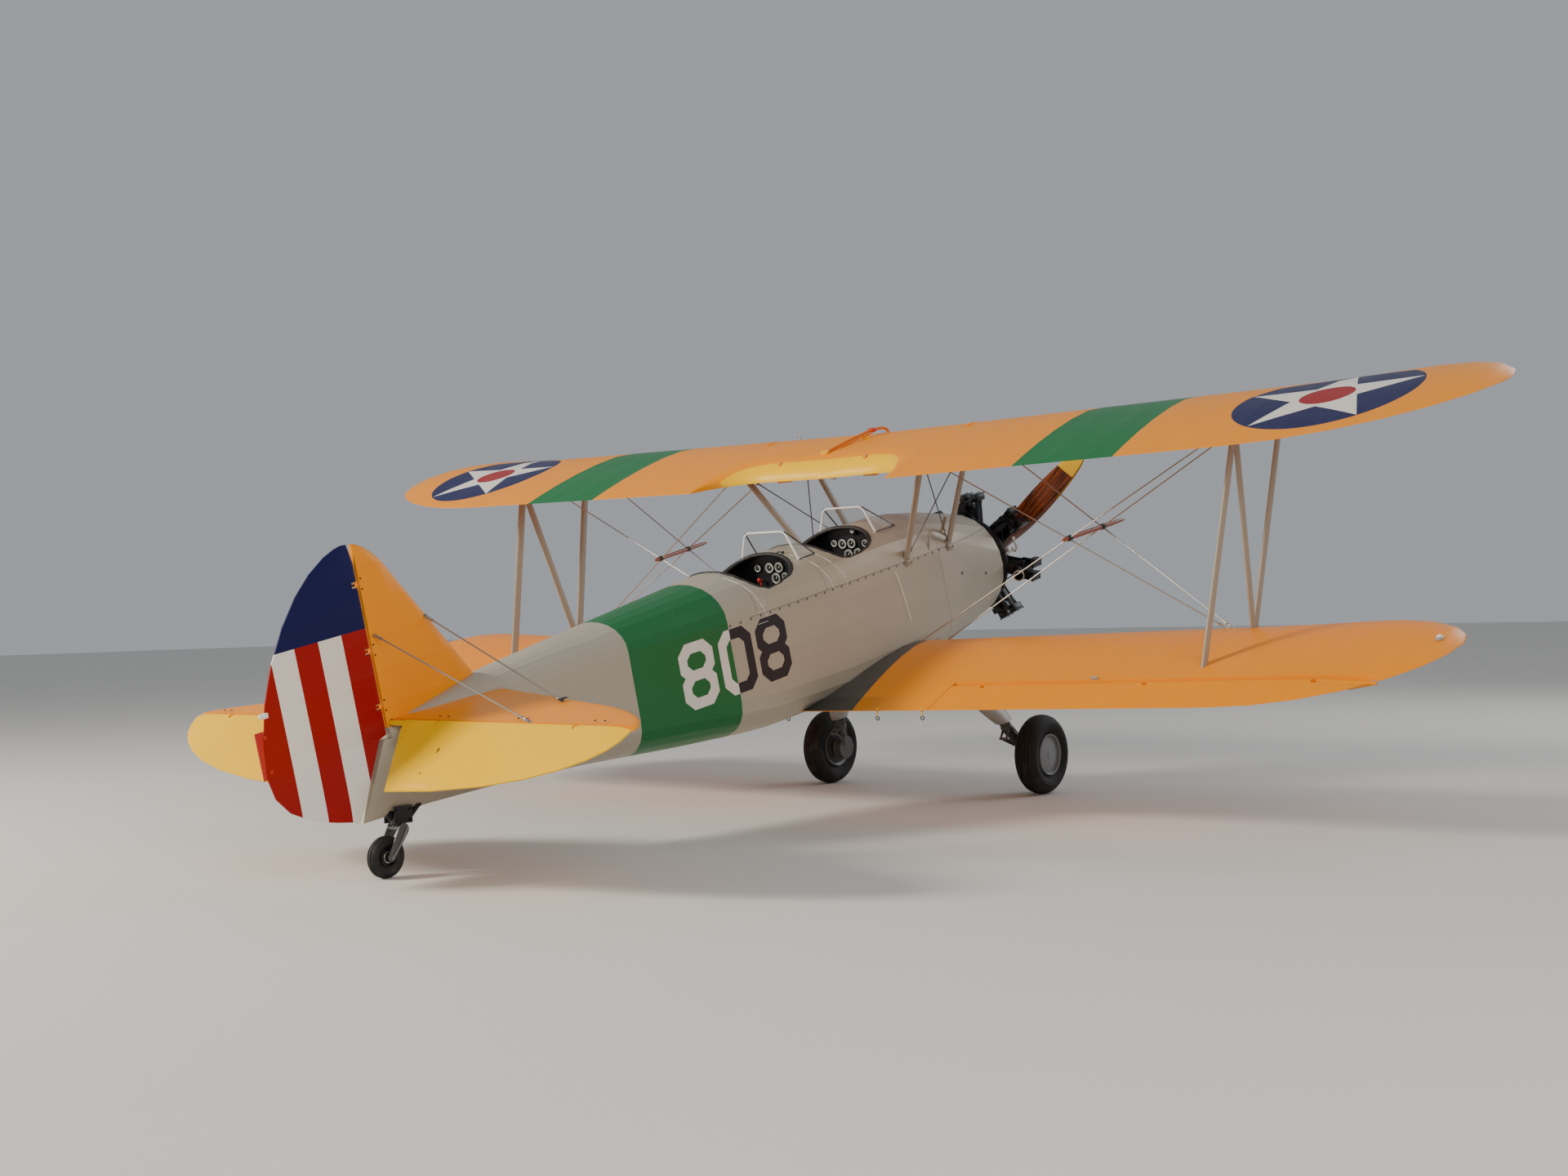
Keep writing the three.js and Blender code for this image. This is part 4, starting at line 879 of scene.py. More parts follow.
def finned_outline(form):
    pitch = (form["high"] - form["low"]) / form["fins"]
    outline = [(form["low"], 0), (form["low"], form["root"])]
    for foot in (form["low"] + pitch * k for k in range(form["fins"])):
        outline += [(foot + pitch * step, form[edge]) for step, edge in FIN_STEPS]
    return [*outline, (form["high"], form["root"]), (form["high"], 0)]


def rocker_box(bm, y):
    """The box over one valve, with its lid, lid bolts and port."""
    slab(bm, (ROCKER_X, y, 0.512), (0.134, 0.066, 0.058), 0.012)
    slab(bm, (ROCKER_X, y, 0.542), (0.14, 0.072, 0.007), 0.002)
    for x in ROCKER_BOLT["x"]:
        for dy in ROCKER_BOLT["y"]:
            fasten(bm, HEX_BOLT, (x, y + dy, ROCKER_BOLT["z"]), (0, 0, 1), ROCKER_BOLT["size"])
    slab(bm, (-0.07, y * 0.9, 0.462), (0.05, 0.054, 0.05), 0.008)


def pushrod_tube(bm, y):
    """The tube ahead of the barrel, with a gland at either end."""
    drum(bm, (0.052, y, 0.176), (0.091, y, 0.5), 0.0105, sides=12)
    drum(bm, (0.054, y, 0.195), (0.058, y, 0.228), 0.016, 0.013, 12, 0.002)
    drum(bm, (0.0855, y, 0.455), (0.09, y, 0.492), 0.0135, 0.016, 12, 0.002)


print("barrel outline", len(finned_outline(BARREL)), "points, head outline", len(finned_outline(HEAD)))

# %% [markdown]
# Each cylinder breathes through one pipe from behind and is fired by two plugs. The plugs' leads
# run down to a ring round the crankcase, which every cylinder shares.

# %% One engine cylinder
LEAD_RING = {"x": 0.075, "radius": 0.226}
PLUG_Z = 0.452
PLUG_STEPS = {"shell": 0.062, "body": 0.09, "end": 0.122, "cap": 0.124}
INTAKE = [(-0.13, 0.05, 0.15), (-0.126, 0.058, 0.25), (-0.112, 0.06, 0.37), (-0.08, 0.055, 0.462)]
FRONT_LEAD = [(0.124, 0, 0.45), (0.132, 0.012, 0.39), (0.112, 0.022, 0.3)]
REAR_LEAD = [(-0.124, 0, 0.45), (-0.126, -0.04, 0.41), (-0.092, -0.096, 0.34), (0.02, -0.1, 0.27)]
LEAD_RADIUS = 0.0045


def plugs_and_leads(bm):
    for way in (1, -1):
        shell, body, end, cap = (way * step for step in PLUG_STEPS.values())
        drum(bm, (shell, 0, PLUG_Z), (body, 0, PLUG_Z), 0.0125, sides=6)
        drum(bm, (body, 0, PLUG_Z), (end, 0, PLUG_Z), 0.0085, sides=10, bevel=0.001)
        ball(bm, (cap, 0, PLUG_Z), 0.0105)
    ring_x, ring_r = LEAD_RING["x"], LEAD_RING["radius"]
    bent_tube(bm, [*FRONT_LEAD, (ring_x, 0.02, ring_r)], LEAD_RADIUS, 7)
    bent_tube(bm, [*REAR_LEAD, (ring_x, -0.07, ring_r - 0.012)], LEAD_RADIUS, 7)


def engine_cylinder():
    bm = bmesh.new()
    slab(bm, (0, 0, 0.206), (0.168, 0.168, 0.014), 0.004)
    bolt_circle(bm, moved((0, 0, 0.213)), 0.083, 10, 0.0075)
    lathe(bm, finned_outline(BARREL), Matrix(), 26)
    lathe(bm, finned_outline(HEAD), Matrix.Diagonal((1, 1.04, 1, 1)), 26)
    slab(bm, (0.0, 0, 0.492), (0.12, 0.12, 0.02), 0.006)
    for y in (-VALVE_Y, VALVE_Y):
        rocker_box(bm, y)
        pushrod_tube(bm, y * 0.79)
    bent_tube(bm, INTAKE, 0.021, 14)
    drum(bm, (-0.122, 0.058, 0.255), (-0.119, 0.058, 0.285), 0.0245, sides=14, bevel=0.002)
    plugs_and_leads(bm)
    return pattern(bm)


CYLINDER = engine_cylinder()
print("one cylinder has", len(CYLINDER.polygons), "faces")

# %% [markdown]
# The crankcase is one turned outline: a rear plate on the cowl, the waist behind, the drum that the
# cylinders stand on, and the stepped front cover. The cylinders are stamped round it, and behind
# stand the sump, the carburettor and two magnetos with their pipes.

# %% Crankcase and whole engine
CRANKCASE = [
    (-0.6595, 0), (-0.6595, 0.2), (-0.565, 0.214), (-0.555, 0.208), (-0.535, 0.172), (-0.455, 0.168),
    (-0.445, 0.178), (-0.44, 0.196), (-0.43, 0.204), (-0.418, 0.205), (-0.414, 0.2), (-0.256, 0.2),
    (-0.252, 0.205), (-0.24, 0.205), (-0.236, 0.197), (-0.233, 0.164), (-0.222, 0.15),
    (-0.212, 0.128), (-0.205, 0.104), (-0.2, 0.07), (-0.2, 0),
]
MAGNETO = {"y": 0.12, "z": THRUST_Z + 0.13}


def thrust_frame(x):
    """A frame on the thrust line whose Z axis looks forward."""
    return moved((x, 0, THRUST_Z)) @ spun(pi / 2, "Y")


def thrust_ring(x, radius, count):
    """Points on a circle round the thrust line, from the top round to port."""
    turns = (2 * pi * k / count for k in range(count))
    return [Vector((x, radius * sin(turn), THRUST_Z + radius * cos(turn))) for turn in turns]


def magneto(bm, side):
    y, z = side * MAGNETO["y"], MAGNETO["z"]
    drum(bm, (-0.655, y, z), (-0.55, y, z), 0.052, 0.046, 20, 0.005)
    drum(bm, (-0.55, y, z), (-0.535, y, z), 0.03, sides=16, bevel=0.003)
    oil_pipe = [(-0.6, y, -0.1), (-0.58, y * 2.1, -0.2), (-0.64, y * 2.4, -0.3)]
    harness = [(-0.58, y, 0.2), (-0.56, y * 2.2, 0.26), (-0.645, y * 2.6, 0.22)]
    bent_tube(bm, [(px, py, THRUST_Z + pz) for px, py, pz in oil_pipe], 0.009, 8)
    bent_tube(bm, [(px, py, THRUST_Z + pz) for px, py, pz in harness], 0.007, 8)


bm = bmesh.new()
lathe(bm, CRANKCASE, thrust_frame(0), 56)
bolt_circle(bm, thrust_frame(-0.237), 0.182, 21, 0.0068)
bolt_circle(bm, thrust_frame(-0.224), 0.136, 12, 0.0055)
for k in range(CYLINDERS):
    turn = spun(-2 * pi * k / CYLINDERS, "X")
    stamp(bm, CYLINDER, moved((ENGINE_X, 0, THRUST_Z)) @ turn)
tube(bm, thrust_ring(ENGINE_X + LEAD_RING["x"], LEAD_RING["radius"], 42), 0.009, 8, closed=True)
slab(bm, (-0.5, 0, THRUST_Z - 0.24), (0.15, 0.13, 0.14), 0.012)
slab(bm, (-0.595, 0, THRUST_Z - 0.27), (0.05, 0.16, 0.16), 0.01)
for side in (-1, 1):
    magneto(bm, side)
piece("engine_radial", bm, PAINTS["engine_black"], replaces=["engine"])

# %% [markdown]
# Exhaust from every cylinder runs into a ring behind them and leaves by one short pipe on the
# starboard side. The metal is burnt: black with brown patches, rougher where the soot is.

# %% Exhaust collector
COLLECTOR = {"x": -0.5, "radius": 0.35, "tube": 0.036}
STUB = ((-0.5, 0.36), (-0.485, 0.41), (-0.44, 0.455), (-0.392, 0.468))
CLAMP_TURN = 0.045


def exhaust_finish():
    finish = Finish("exhaust_burnt", Metallic=0.35)
    burnt = finish.noise(finish.rest, 9, 5)
    soot = finish.noise(finish.rest, 45, 3)
    patches = finish.step(burnt, 0.45, 0.75, 0, 0.8)
    colour = finish.mix(linear("#121214"), linear("#3d2c21"), patches)
    finish.feed("Base Color", finish.tint(colour, soot * 0.5 + 0.75))
    finish.feed("Roughness", burnt * 0.3 + 0.42)
    finish.bump(soot * 0.0006)
    return finish


def collector_point(x, radius, turn):
    return Vector((x, radius * sin(turn), THRUST_Z + radius * cos(turn)))


def collector_joints(bm, turn):
    """One cylinder's stub with its gland, and the clamp halfway to the next."""
    stub = [collector_point(x, radius, turn) for x, radius in STUB]
    bent_tube(bm, stub, 0.022, 14)
    drum(bm, stub[1], stub[1] + (stub[2] - stub[1]) * 0.35, 0.0265, sides=16, bevel=0.003)
    seam = turn + pi / CYLINDERS
    near, far = (
        collector_point(COLLECTOR["x"], COLLECTOR["radius"], seam + way * CLAMP_TURN) for way in (-1, 1)
    )
    drum(bm, near, far, COLLECTOR["tube"] + 0.0035, sides=18, bevel=0.003)
    fasten(bm, HEX_BOLT, (near + far) / 2 + Vector((-0.04, 0, 0)), (-1, 0, 0), 0.008)


EXHAUST = exhaust_finish()
exhaust = bmesh.new()
tube(exhaust, thrust_ring(COLLECTOR["x"], COLLECTOR["radius"], 56), COLLECTOR["tube"], 14, closed=True)
for k in range(CYLINDERS):
    collector_joints(exhaust, 2 * pi * k / CYLINDERS)
print("collector", len(exhaust.faces), "faces")

# %% [markdown]
# The outlet has a real wall, so that its mouth is dark and its lip, burnt pale, catches the light.
# Rings run down the outside and back up the inside, and one skin covers them all.

# %% Exhaust outlet
OUTLET = [
    (-0.48, -0.33, -0.33), (-0.472, -0.4, -0.352), (-0.482, -0.462, -0.37), (-0.55, -0.505, -0.379),
    (-0.64, -0.56, -0.385),
]
WALL = 0.004
PIPE = 0.042
HOLLOW_FROM = 6

path = smooth_rows(OUTLET, 5)
frames = [facing(after - point, point) for point, after in zip(path, path[1:])]
mouth = facing(path[-1] - path[-2], path[-1])
frames.append(mouth)
outside = [ring_frame @ Matrix.Scale(PIPE, 4) for ring_frame in frames]
inside = [ring_frame @ Matrix.Scale(PIPE - WALL, 4) for ring_frame in reversed(frames[HOLLOW_FROM:])]
skin_rings(exhaust, outside + inside, 24)
piece("exhaust_pipes", exhaust, EXHAUST, replaces=["exhaust_collector"])

bm = bmesh.new()
bore = PIPE - WALL - 0.001
lip = [
    (-0.02, PIPE), (-0.02, PIPE + 0.003), (0.001, PIPE + 0.003), (0.003, PIPE), (0.001, bore),
    (-0.02, bore), (-0.02, PIPE),
]
lathe(bm, lip, mouth, 32)
piece("exhaust_lip", bm, weathered_paint("burnt_lip", "#c9bfa9", 0.5, Metallic=0.3))

# %% [markdown]
# The propeller is carved from glued boards. Its section changes all the way from the round boss to
# the thin tip, so it is a skin through rings whose width, thickness and pitch come from a short
# table. A metal sheath guards the outer leading edges.

# %% Propeller
# radius, chord, thickness, pitch in degrees
BLADE = [
    (0.0, 0.11, 0.118, 64), (0.06, 0.115, 0.115, 62), (0.16, 0.146, 0.088, 52), (0.33, 0.196, 0.052, 38),
    (0.62, 0.212, 0.03, 26), (0.9, 0.19, 0.02, 20), (1.1, 0.15, 0.014, 17), (1.19, 0.11, 0.011, 15),
    (1.23, 0.07, 0.009, 15), (1.244, 0.028, 0.006, 15),
]
BOSS = [(-0.142, 0), (-0.142, 0.104), (-0.136, 0.111), (-0.01, 0.111), (-0.004, 0.104), (-0.004, 0)]
SHEATH = {"from": 0.72, "chord": 0.06, "shift": 0.87, "grow": (0.14, 0.56)}


def blade_ring(radius, chord, thick, pitch, shift=0.0, grow=(1, 1)):
    turn = spun(radians(pitch - 90), "Z")
    size = Matrix.Diagonal((chord / 2 * grow[0], thick / 2 * grow[1], 1, 1))
    return moved((0, 0, radius)) @ turn @ moved((chord / 2 * shift, 0, 0)) @ size


blade_rows = smooth_rows(BLADE, 4)
blade_place = TO_FLIGHT @ blade_frame
bm = bmesh.new()
sheath = bmesh.new()
for turn in (Matrix(), spun(pi, "X")):
    skin_rings(bm, [blade_place @ turn @ blade_ring(*row) for row in blade_rows], 26)
    outer_rows = [row for row in blade_rows if row[0] > SHEATH["from"] and row[1] > SHEATH["chord"]]
    frames = [blade_place @ turn @ blade_ring(*row, SHEATH["shift"], SHEATH["grow"]) for row in outer_rows]
    skin_rings(sheath, frames, 16)
lathe(bm, BOSS, thrust_frame(0), 48)
piece("propeller_laminated", bm, WOOD, "propeller", ["propeller"])
piece("propeller_sheath", sheath, PAINTS["brass"], "propeller")

# %% [markdown]
# Two steel plates clamp the boss on its shaft. They and the nut are one outline, turned with a
# groove where the wood sits, and a ring of bolts goes through them.

# %% Propeller hub
HUB = [
    (-0.1996, 0), (-0.1996, 0.034), (-0.162, 0.034), (-0.16, 0.036), (-0.16, 0.1), (-0.158, 0.102),
    (-0.144, 0.102), (-0.1425, 0.1), (-0.1425, 0.03), (-0.0035, 0.03), (-0.0035, 0.094),
    (-0.002, 0.096), (0.012, 0.096), (0.014, 0.094), (0.014, 0.042), (0.017, 0.039),
    (0.043, 0.034), (0.046, 0.031), (0.046, 0),
]
HUB_BOLTS = {"x": 0.014, "radius": 0.07, "count": 8, "size": 0.009}

bm = bmesh.new()
lathe(bm, HUB, thrust_frame(0), 48)
bolt_circle(bm, thrust_frame(HUB_BOLTS["x"]), HUB_BOLTS["radius"], HUB_BOLTS["count"], HUB_BOLTS["size"])
piece("propeller_hub_plates", bm, PAINTS["bare_steel"], "propeller", ["propeller_hub"])

# %% [markdown]
# A tyre is turned from one outline, grooves and all: flank, crown with its grooves, other flank and
# the bead. The crown is half an ellipse, so the grooves are cut by dropping four points into it.

# %% Tyre outline
MAIN = {"x": -1.422, "z": -1.638, "y": 1.021, "radius": 0.305, "half": 0.093, "bead": 0.158}
GROOVES = (-0.048, -0.024, 0, 0.024, 0.048)
GROOVE = {"half": 0.0036, "floor": 0.0022, "deep": 0.006}
GROOVE_STEPS = (
    (-GROOVE["half"], 0), (-GROOVE["floor"], GROOVE["deep"]), (GROOVE["floor"], GROOVE["deep"]),
    (GROOVE["half"], 0),
)
FLANK_STEP = 0.115


def tyre_outline(radius, half, bead, grooves):
    wall = (radius - bead) / 2

    def crown_at(along):
        return bead + wall + wall * sqrt(1 - (along / half) ** 2)

    crown = [(along, crown_at(along)) for along in (half * k / 14 for k in range(-10, 11))]
    clear = GROOVE["half"] * 1.4
    kept = [point for point in crown if all(abs(point[0] - middle) > clear for middle in grooves)]
    cut = []
    for middle in grooves:
        cut += [(middle + shift, crown_at(middle) - depth) for shift, depth in GROOVE_STEPS]
    turns = [-pi / 2 - 0.35 + FLANK_STEP * k for k in range(9)]
    flank = [(half * sin(turn), bead + wall + wall * cos(turn)) for turn in turns]
    flank[4] = (flank[4][0] - 0.0022, flank[4][1])
    other = [(-along, reach) for along, reach in reversed(flank)]
    bead_line = [(half * 0.6, bead), (-half * 0.6, bead)]
    return [*flank, *sorted(kept + cut), *other, *bead_line, flank[0]]


print("tyre outline", len(tyre_outline(MAIN["radius"], MAIN["half"], MAIN["bead"], GROOVES)), "points")

# %% [markdown]
# The wheels differ from side to side: the faces that look out wear a plain domed disc, and those
# that look in show the rim's well and the brake drum. All three turn about the axle, so each is an
# outline in a frame whose Z axis points outboard.

# %% Wheels
RIM = [
    (-0.0134, 0.021), (-0.0134, 0.124), (-0.03, 0.132), (-0.066, 0.136), (-0.074, 0.144), (-0.0795, 0.15),
    (-0.0805, 0.1572), (0.0805, 0.1572), (0.0795, 0.15), (0.073, 0.146), (0.058, 0.145), (0.056, 0.142),
    (0.062, 0.12), (0.067, 0.08), (0.0695, 0.04), (0.07, 0.034), (0.07, 0.021), (-0.0134, 0.021),
]
BRAKE = [
    (-0.012, 0.0215), (-0.012, 0.11), (-0.04, 0.11), (-0.042, 0.114), (-0.047, 0.114), (-0.049, 0.11),
    (-0.056, 0.11), (-0.058, 0.114), (-0.063, 0.114), (-0.065, 0.11), (-0.078, 0.108), (-0.08, 0.1),
    (-0.08, 0.07), (-0.07, 0.064), (-0.07, 0.05), (-0.086, 0.045), (-0.088, 0.04), (-0.088, 0.0215),
    (-0.012, 0.0215),
]
INWARD = spun(pi, "X")


def wheel_frame(side, y):
    """A frame on the main axle whose Z axis points outboard."""
    return moved((MAIN["x"], side * y, MAIN["z"])) @ spun(-side * pi / 2, "X")


for name, side in SIDES.items():
    body = f"main_wheel_{name}"
    place = wheel_frame(side, MAIN["y"])
    bm = bmesh.new()
    lathe(bm, tyre_outline(MAIN["radius"], MAIN["half"], MAIN["bead"], GROOVES), place, 84)
    piece(f"main_tyre_grooved_{name}", bm, RUBBER, body, [f"main_tyre_{name}"], 24)
    bm = bmesh.new()
    lathe(bm, RIM, place, 72)
    drum(bm, place @ Vector((0, 0, 0.066)), place @ Vector((0, 0, 0.0745)), 0.031, 0.027, 28, 0.002)
    stamp(bm, HEX_BOLT, place @ moved((0.132, 0, -0.028)) @ INWARD @ Matrix.Scale(0.006, 4))
    piece(f"main_rim_turned_{name}", bm, PAINTS["rim_paint"], body, [f"main_rim_{name}"], 28)
    bm = bmesh.new()
    lathe(bm, BRAKE, place, 48)
    bolt_circle(bm, place @ moved((0, 0, -0.08)) @ INWARD, 0.085, 9, 0.007)
    piece(f"brake_drum_{name}", bm, PAINTS["fitting_paint"], body)

# %% [markdown]
# Between the faired leg and the axle runs a bare sliding tube. Two hinged links behind it stop the
# wheel from turning about the leg, a hose feeds the brake, and a plate with a rolled edge closes
# the drum. They could be parts of the leg, but their finish is steel, so they are a piece apart.

# %% Undercarriage fittings
BRAKE_PLATE = [
    (0, 0), (0, 0.102), (0.006, 0.106), (0.022, 0.106), (0.022, 0.1), (0.008, 0.094), (0.008, 0),
]
LEG_END = (-1.535, 0.785, -1.355)
AXLE_TOP_Z = -1.6
PLATE_INSET = 0.15
LINK_HALF = 0.024


def torque_link(bm, leg_end, axle_top, along):
    knee = leg_end + along * 0.11 + Vector((-0.115, 0, -0.012))
    for shift in (-LINK_HALF, LINK_HALF):
        reach = Vector((0, shift, 0))
        drum(bm, leg_end + along * 0.05 + reach, knee + reach, 0.011, 0.008, 10, 0.001)
        drum(bm, knee + reach, axle_top - along * 0.03 + reach, 0.008, 0.011, 10, 0.001)
    pin = Vector((0, 0.034, 0))
    drum(bm, knee - pin, knee + pin, 0.011, sides=12, bevel=0.002)


for name, side in SIDES.items():
    bm = bmesh.new()
    inner = MAIN["y"] - PLATE_INSET
    plate = wheel_frame(side, inner + 0.022)
    lathe(bm, BRAKE_PLATE, plate, 48)
    bolt_circle(bm, plate @ moved((0, 0, 0.006)), 0.06, 6, 0.0075)
    leg_end = Vector((LEG_END[0], side * LEG_END[1], LEG_END[2]))
    axle_top = Vector((MAIN["x"] - 0.02, side * inner, AXLE_TOP_Z))
    along = (axle_top - leg_end).normalized()
    drum(bm, leg_end + along * 0.03, leg_end + along * 0.1, 0.046, 0.043, 24, 0.005)
    drum(bm, leg_end + along * 0.165, leg_end + along * 0.185, 0.041, sides=24, bevel=0.003)
    torque_link(bm, leg_end, axle_top, along)
    hose = [
        leg_end + Vector((0.05, 0, 0.02)), leg_end + along * 0.13 + Vector((0.075, 0, 0)),
        axle_top + Vector((0.05, 0, 0.02)),
    ]
    bent_tube(bm, hose, 0.0055, 8)
    piece(f"undercarriage_fittings_{name}", bm, PAINTS["fitting_paint"])

# %% [markdown]
# Fittings have to sit on skins whose exact place is only known from the solids. A tree of a few
# solids' faces can be met by rays, which gives a place on the skin and the way that it faces.

# %% Skins to fit things to


def flight_tree(*names):
    """The surfaces of some nodes in the flight frame, to be met by rays."""
    bm = bmesh.new()
    for node in names:
        bm.from_mesh(nodes[node].data)
    bm.transform(TO_FLIGHT)
    tree = BVHTree.FromBMesh(bm)
    bm.free()
    return tree


UPPER_SKIN = flight_tree("wing_upper_centre", "wing_upper_port", "wing_upper_starboard")
LOWER_SKIN = flight_tree("wing_lower_port", "wing_lower_starboard")
BODY_SKIN = flight_tree("fuselage_nose_cowl", "fuselage_cockpits", "fuselage_deck", "fuselage_rear")
TAIL_SKIN = flight_tree("fin", "stabilizer_port", "stabilizer_starboard")


def meets(skin, start, end):
    """Where a line first meets a skin, and the skin's outward direction there."""
    start, end = Vector(start), Vector(end)
    place, normal, _, _ = skin.ray_cast(start, end - start)
    return (end, (start - end).normalized()) if place is None else (place, normal)


def from_above(skin, x, y):
    return meets(skin, (x, y, 2.0), (x, y, -3.0))


def from_side(x, z, side):
    return meets(BODY_SKIN, (x, side * 0.9, z), (x, 0, z - 0.02))


def on_deck(x, y):
    return meets(BODY_SKIN, (x, y, 0.9), (x, y, -0.1))


def on_crown(x, turn):
    """The skin met by a ray towards the body's middle, turned from straight up to port."""
    out = Vector((0, sin(turn), cos(turn)))
    middle = Vector((x, 0, -0.1))
    return meets(BODY_SKIN, middle + out * 0.9, middle)


print("upper skin over the middle at", [round(v, 3) for v in from_above(UPPER_SKIN, -1.9, 0)[0]])

# %% [markdown]
# Flat steel wires brace each pair of wings into a stiff box: flying wires run up and out, landing
# wires up and in. Each ends in a threaded fork at the skin, so half a wire is made from its middle
# to the place where its line meets the skin. A wire could be a curve, but it is a straight bar.

# %% Wing wires
WIRE_RADIUS = 0.0045
WIRE_LIFT = 0.02
# from and to along the wire, both radii, sides and bevel
WIRE_END = [
    (0.012, 0.05, 0.0085, 0.007, 10, 0.001), (0.05, 0.062, 0.0095, 0.0095, 6, 0),
    (0.062, 0.12, 0.0062, 0.0045, 8, 0),
]


def half_wire(bm, middle, end, skin):
    foot, _ = meets(skin, middle, end)
    along = (middle - foot).normalized()
    drum(bm, foot + along * 0.05, middle, WIRE_RADIUS, sides=8)
    for start, stop, radius, stop_radius, sides, bevel in WIRE_END:
        drum(bm, foot + along * start, foot + along * stop, radius, stop_radius, sides, bevel)
    slab(bm, facing(along, foot + along * 0.004), (0.024, 0.006, 0.05), 0.0015)


def wire(bm, start, end, start_skin, end_skin):
    start, end = Vector(start), Vector(end)
    middle = (start + end) / 2
    half_wire(bm, middle, start, start_skin)
    half_wire(bm, middle, end, end_skin)


for name, side in SIDES.items():
    bm = bmesh.new()
    strut_top = wing_point(UPPER, side, 3.225, 0.115, WIRE_LIFT)
    strut_top_rear = wing_point(UPPER, side, 3.225, 0.52, WIRE_LIFT)
    strut_foot = wing_point(LOWER, side, 3.102, 0.115, WIRE_LIFT)
    root = wing_point(LOWER, side, 0.58, 0.115, WIRE_LIFT)
    cabane_top = wing_point(UPPER, side, 0.9, 0.115, WIRE_LIFT)
    cabane_top_rear = wing_point(UPPER, side, 0.87, 0.626, WIRE_LIFT)
    wire(bm, root, strut_top, LOWER_SKIN, UPPER_SKIN)
    wire(bm, cabane_top, strut_foot, UPPER_SKIN, LOWER_SKIN)
    wire(bm, (-2.22, side * 0.46, -0.62), strut_top_rear, BODY_SKIN, UPPER_SKIN)
    wire(bm, cabane_top_rear, strut_foot, UPPER_SKIN, LOWER_SKIN)
    piece(f"wing_wires_{name}", bm, PAINTS["drawn_wire"], replaces=[f"rigging_{name}"])

# %% [markdown]
# Where the wires cross, a varnished wooden stick keeps them from rubbing. It is a spindle: thick in
# the middle, thin at both ends, and bound with a dark ferrule where each pair of wires passes.

# %% Wire spreaders
SPREADER = {"rear": (-2.137, 1.92, 0.167), "front": (-1.731, 1.965, 0.167)}
SPINDLE_END = 0.008
SPINDLE_SWELL = 0.0095
FERRULE = {"half": 0.022, "radius": 0.0205}

for name, side in SIDES.items():
    rear, front = (Vector((x, side * y, z)) for x, y, z in SPREADER.values())
    along = (front - rear).normalized()
    stick = [rear - along * 0.08, rear, (rear + front) / 2, front]
    stick += [front + along * 0.18, front + along * 0.28]
    bm = bmesh.new()
    bent_tube(bm, stick, [SPINDLE_END + SPINDLE_SWELL * sin(pi * k / 25) ** 0.5 for k in range(26)], 16)
    piece(f"wire_spreader_{name}", bm, SPINDLE_WOOD)
    bm = bmesh.new()
    for crossing in (rear, front):
        half = along * FERRULE["half"]
        drum(bm, crossing - half, crossing + half, FERRULE["radius"], sides=20, bevel=0.002)
        for shift in (-0.012, 0.012):
            below = crossing + along * shift - Vector((0, 0, FERRULE["radius"]))
            fasten(bm, DOME_SCREW, below, (0, 0, -1), 0.005)
    piece(f"spreader_ferrules_{name}", bm, PAINTS["black_paint"])

# %% [markdown]
# The tail surfaces hold each other up with thin wires: two each side from the fin down to the
# stabilizer, and two on from there to the body's keel. The lower ones are out of sight in most
# views, but a real stabilizer would fold without them.

# %% Tail wires
FIN_TOPS = {"rear": (-6.66, 0, 0.614), "front": (-6.264, 0, 0.624)}
STABILIZER_FEET = {"rear": (-6.621, 1.139, 0.1), "front": (-6.2, 0.95, 0.1)}

bm = bmesh.new()
for side in BOTH:
    for end, (x, y, z) in STABILIZER_FEET.items():
        foot = Vector((x, side * y, z))
        keel = (x + 0.05, side * 0.05, -0.33)
        wire(bm, FIN_TOPS[end], foot, TAIL_SKIN, TAIL_SKIN)
        wire(bm, foot - Vector((0, 0, 0.03)), keel, TAIL_SKIN, BODY_SKIN)
piece("tail_wires", bm, PAINTS["drawn_wire"])

# %% [markdown]
# Screws show where the hinges are bolted inside the spars, and a bent horn comes out of each side
# of the body to work the elevators. The screws could be a bump, but real heads catch the light.

# %% Tail screws and horns
STABILIZER_HINGES = (0.42, 1.05, 1.62)
FIN_HINGES = (0.2, 0.52, 0.9)
HORN = [(-6.64, 0.075, 0.075), (-6.6, 0.105, 0.045), (-6.66, 0.11, -0.02), (-6.71, 0.085, -0.045)]

bm = bmesh.new()
for side in BOTH:
    for span in STABILIZER_HINGES:
        for shift in (-0.035, 0.035):
            fasten(bm, DOME_SCREW, (-6.602, side * span + shift, 0.121), (0, 0, 1), 0.007)
    slab(bm, (-6.2, side * 0.95, 0.119), (0.05, 0.03, 0.006), 0.001)
    bent_tube(bm, [(x, side * y, z) for x, y, z in HORN], 0.011, 10)
for z in FIN_HINGES:
    for y in (-0.022, 0.022):
        for shift in (-0.03, 0.03):
            fasten(bm, DOME_SCREW, (-6.676, y, z + shift), (0, y, 0), 0.006)
piece("tail_horns", bm, PAINTS["black_paint"])

# %% [markdown]
# A red tab on the rudder's trailing edge is bent by hand to trim it, and a small white lamp stands
# above it. Both ride on the rudder. The elevators have a trim tab each, worked by a rod and a horn;
# they are made in a frame that droops as the elevators do at rest.

# %% Tabs and tail lamp
TAB_LUGS = (0.05, 0.24)
LAMP = [(0, 0), (0, 0.012), (0.018, 0.0135), (0.02, 0.012), (0.026, 0.009), (0.029, 0.004), (0.03, 0)]
DROOP = radians(27)
TAB_SPAN = 0.62
TAB_HORN = [(-0.38, 0.01), (-0.405, -0.03), (-0.46, -0.042)]
TAB_ROD = [(-0.2, 0.019), (-0.455, -0.038)]

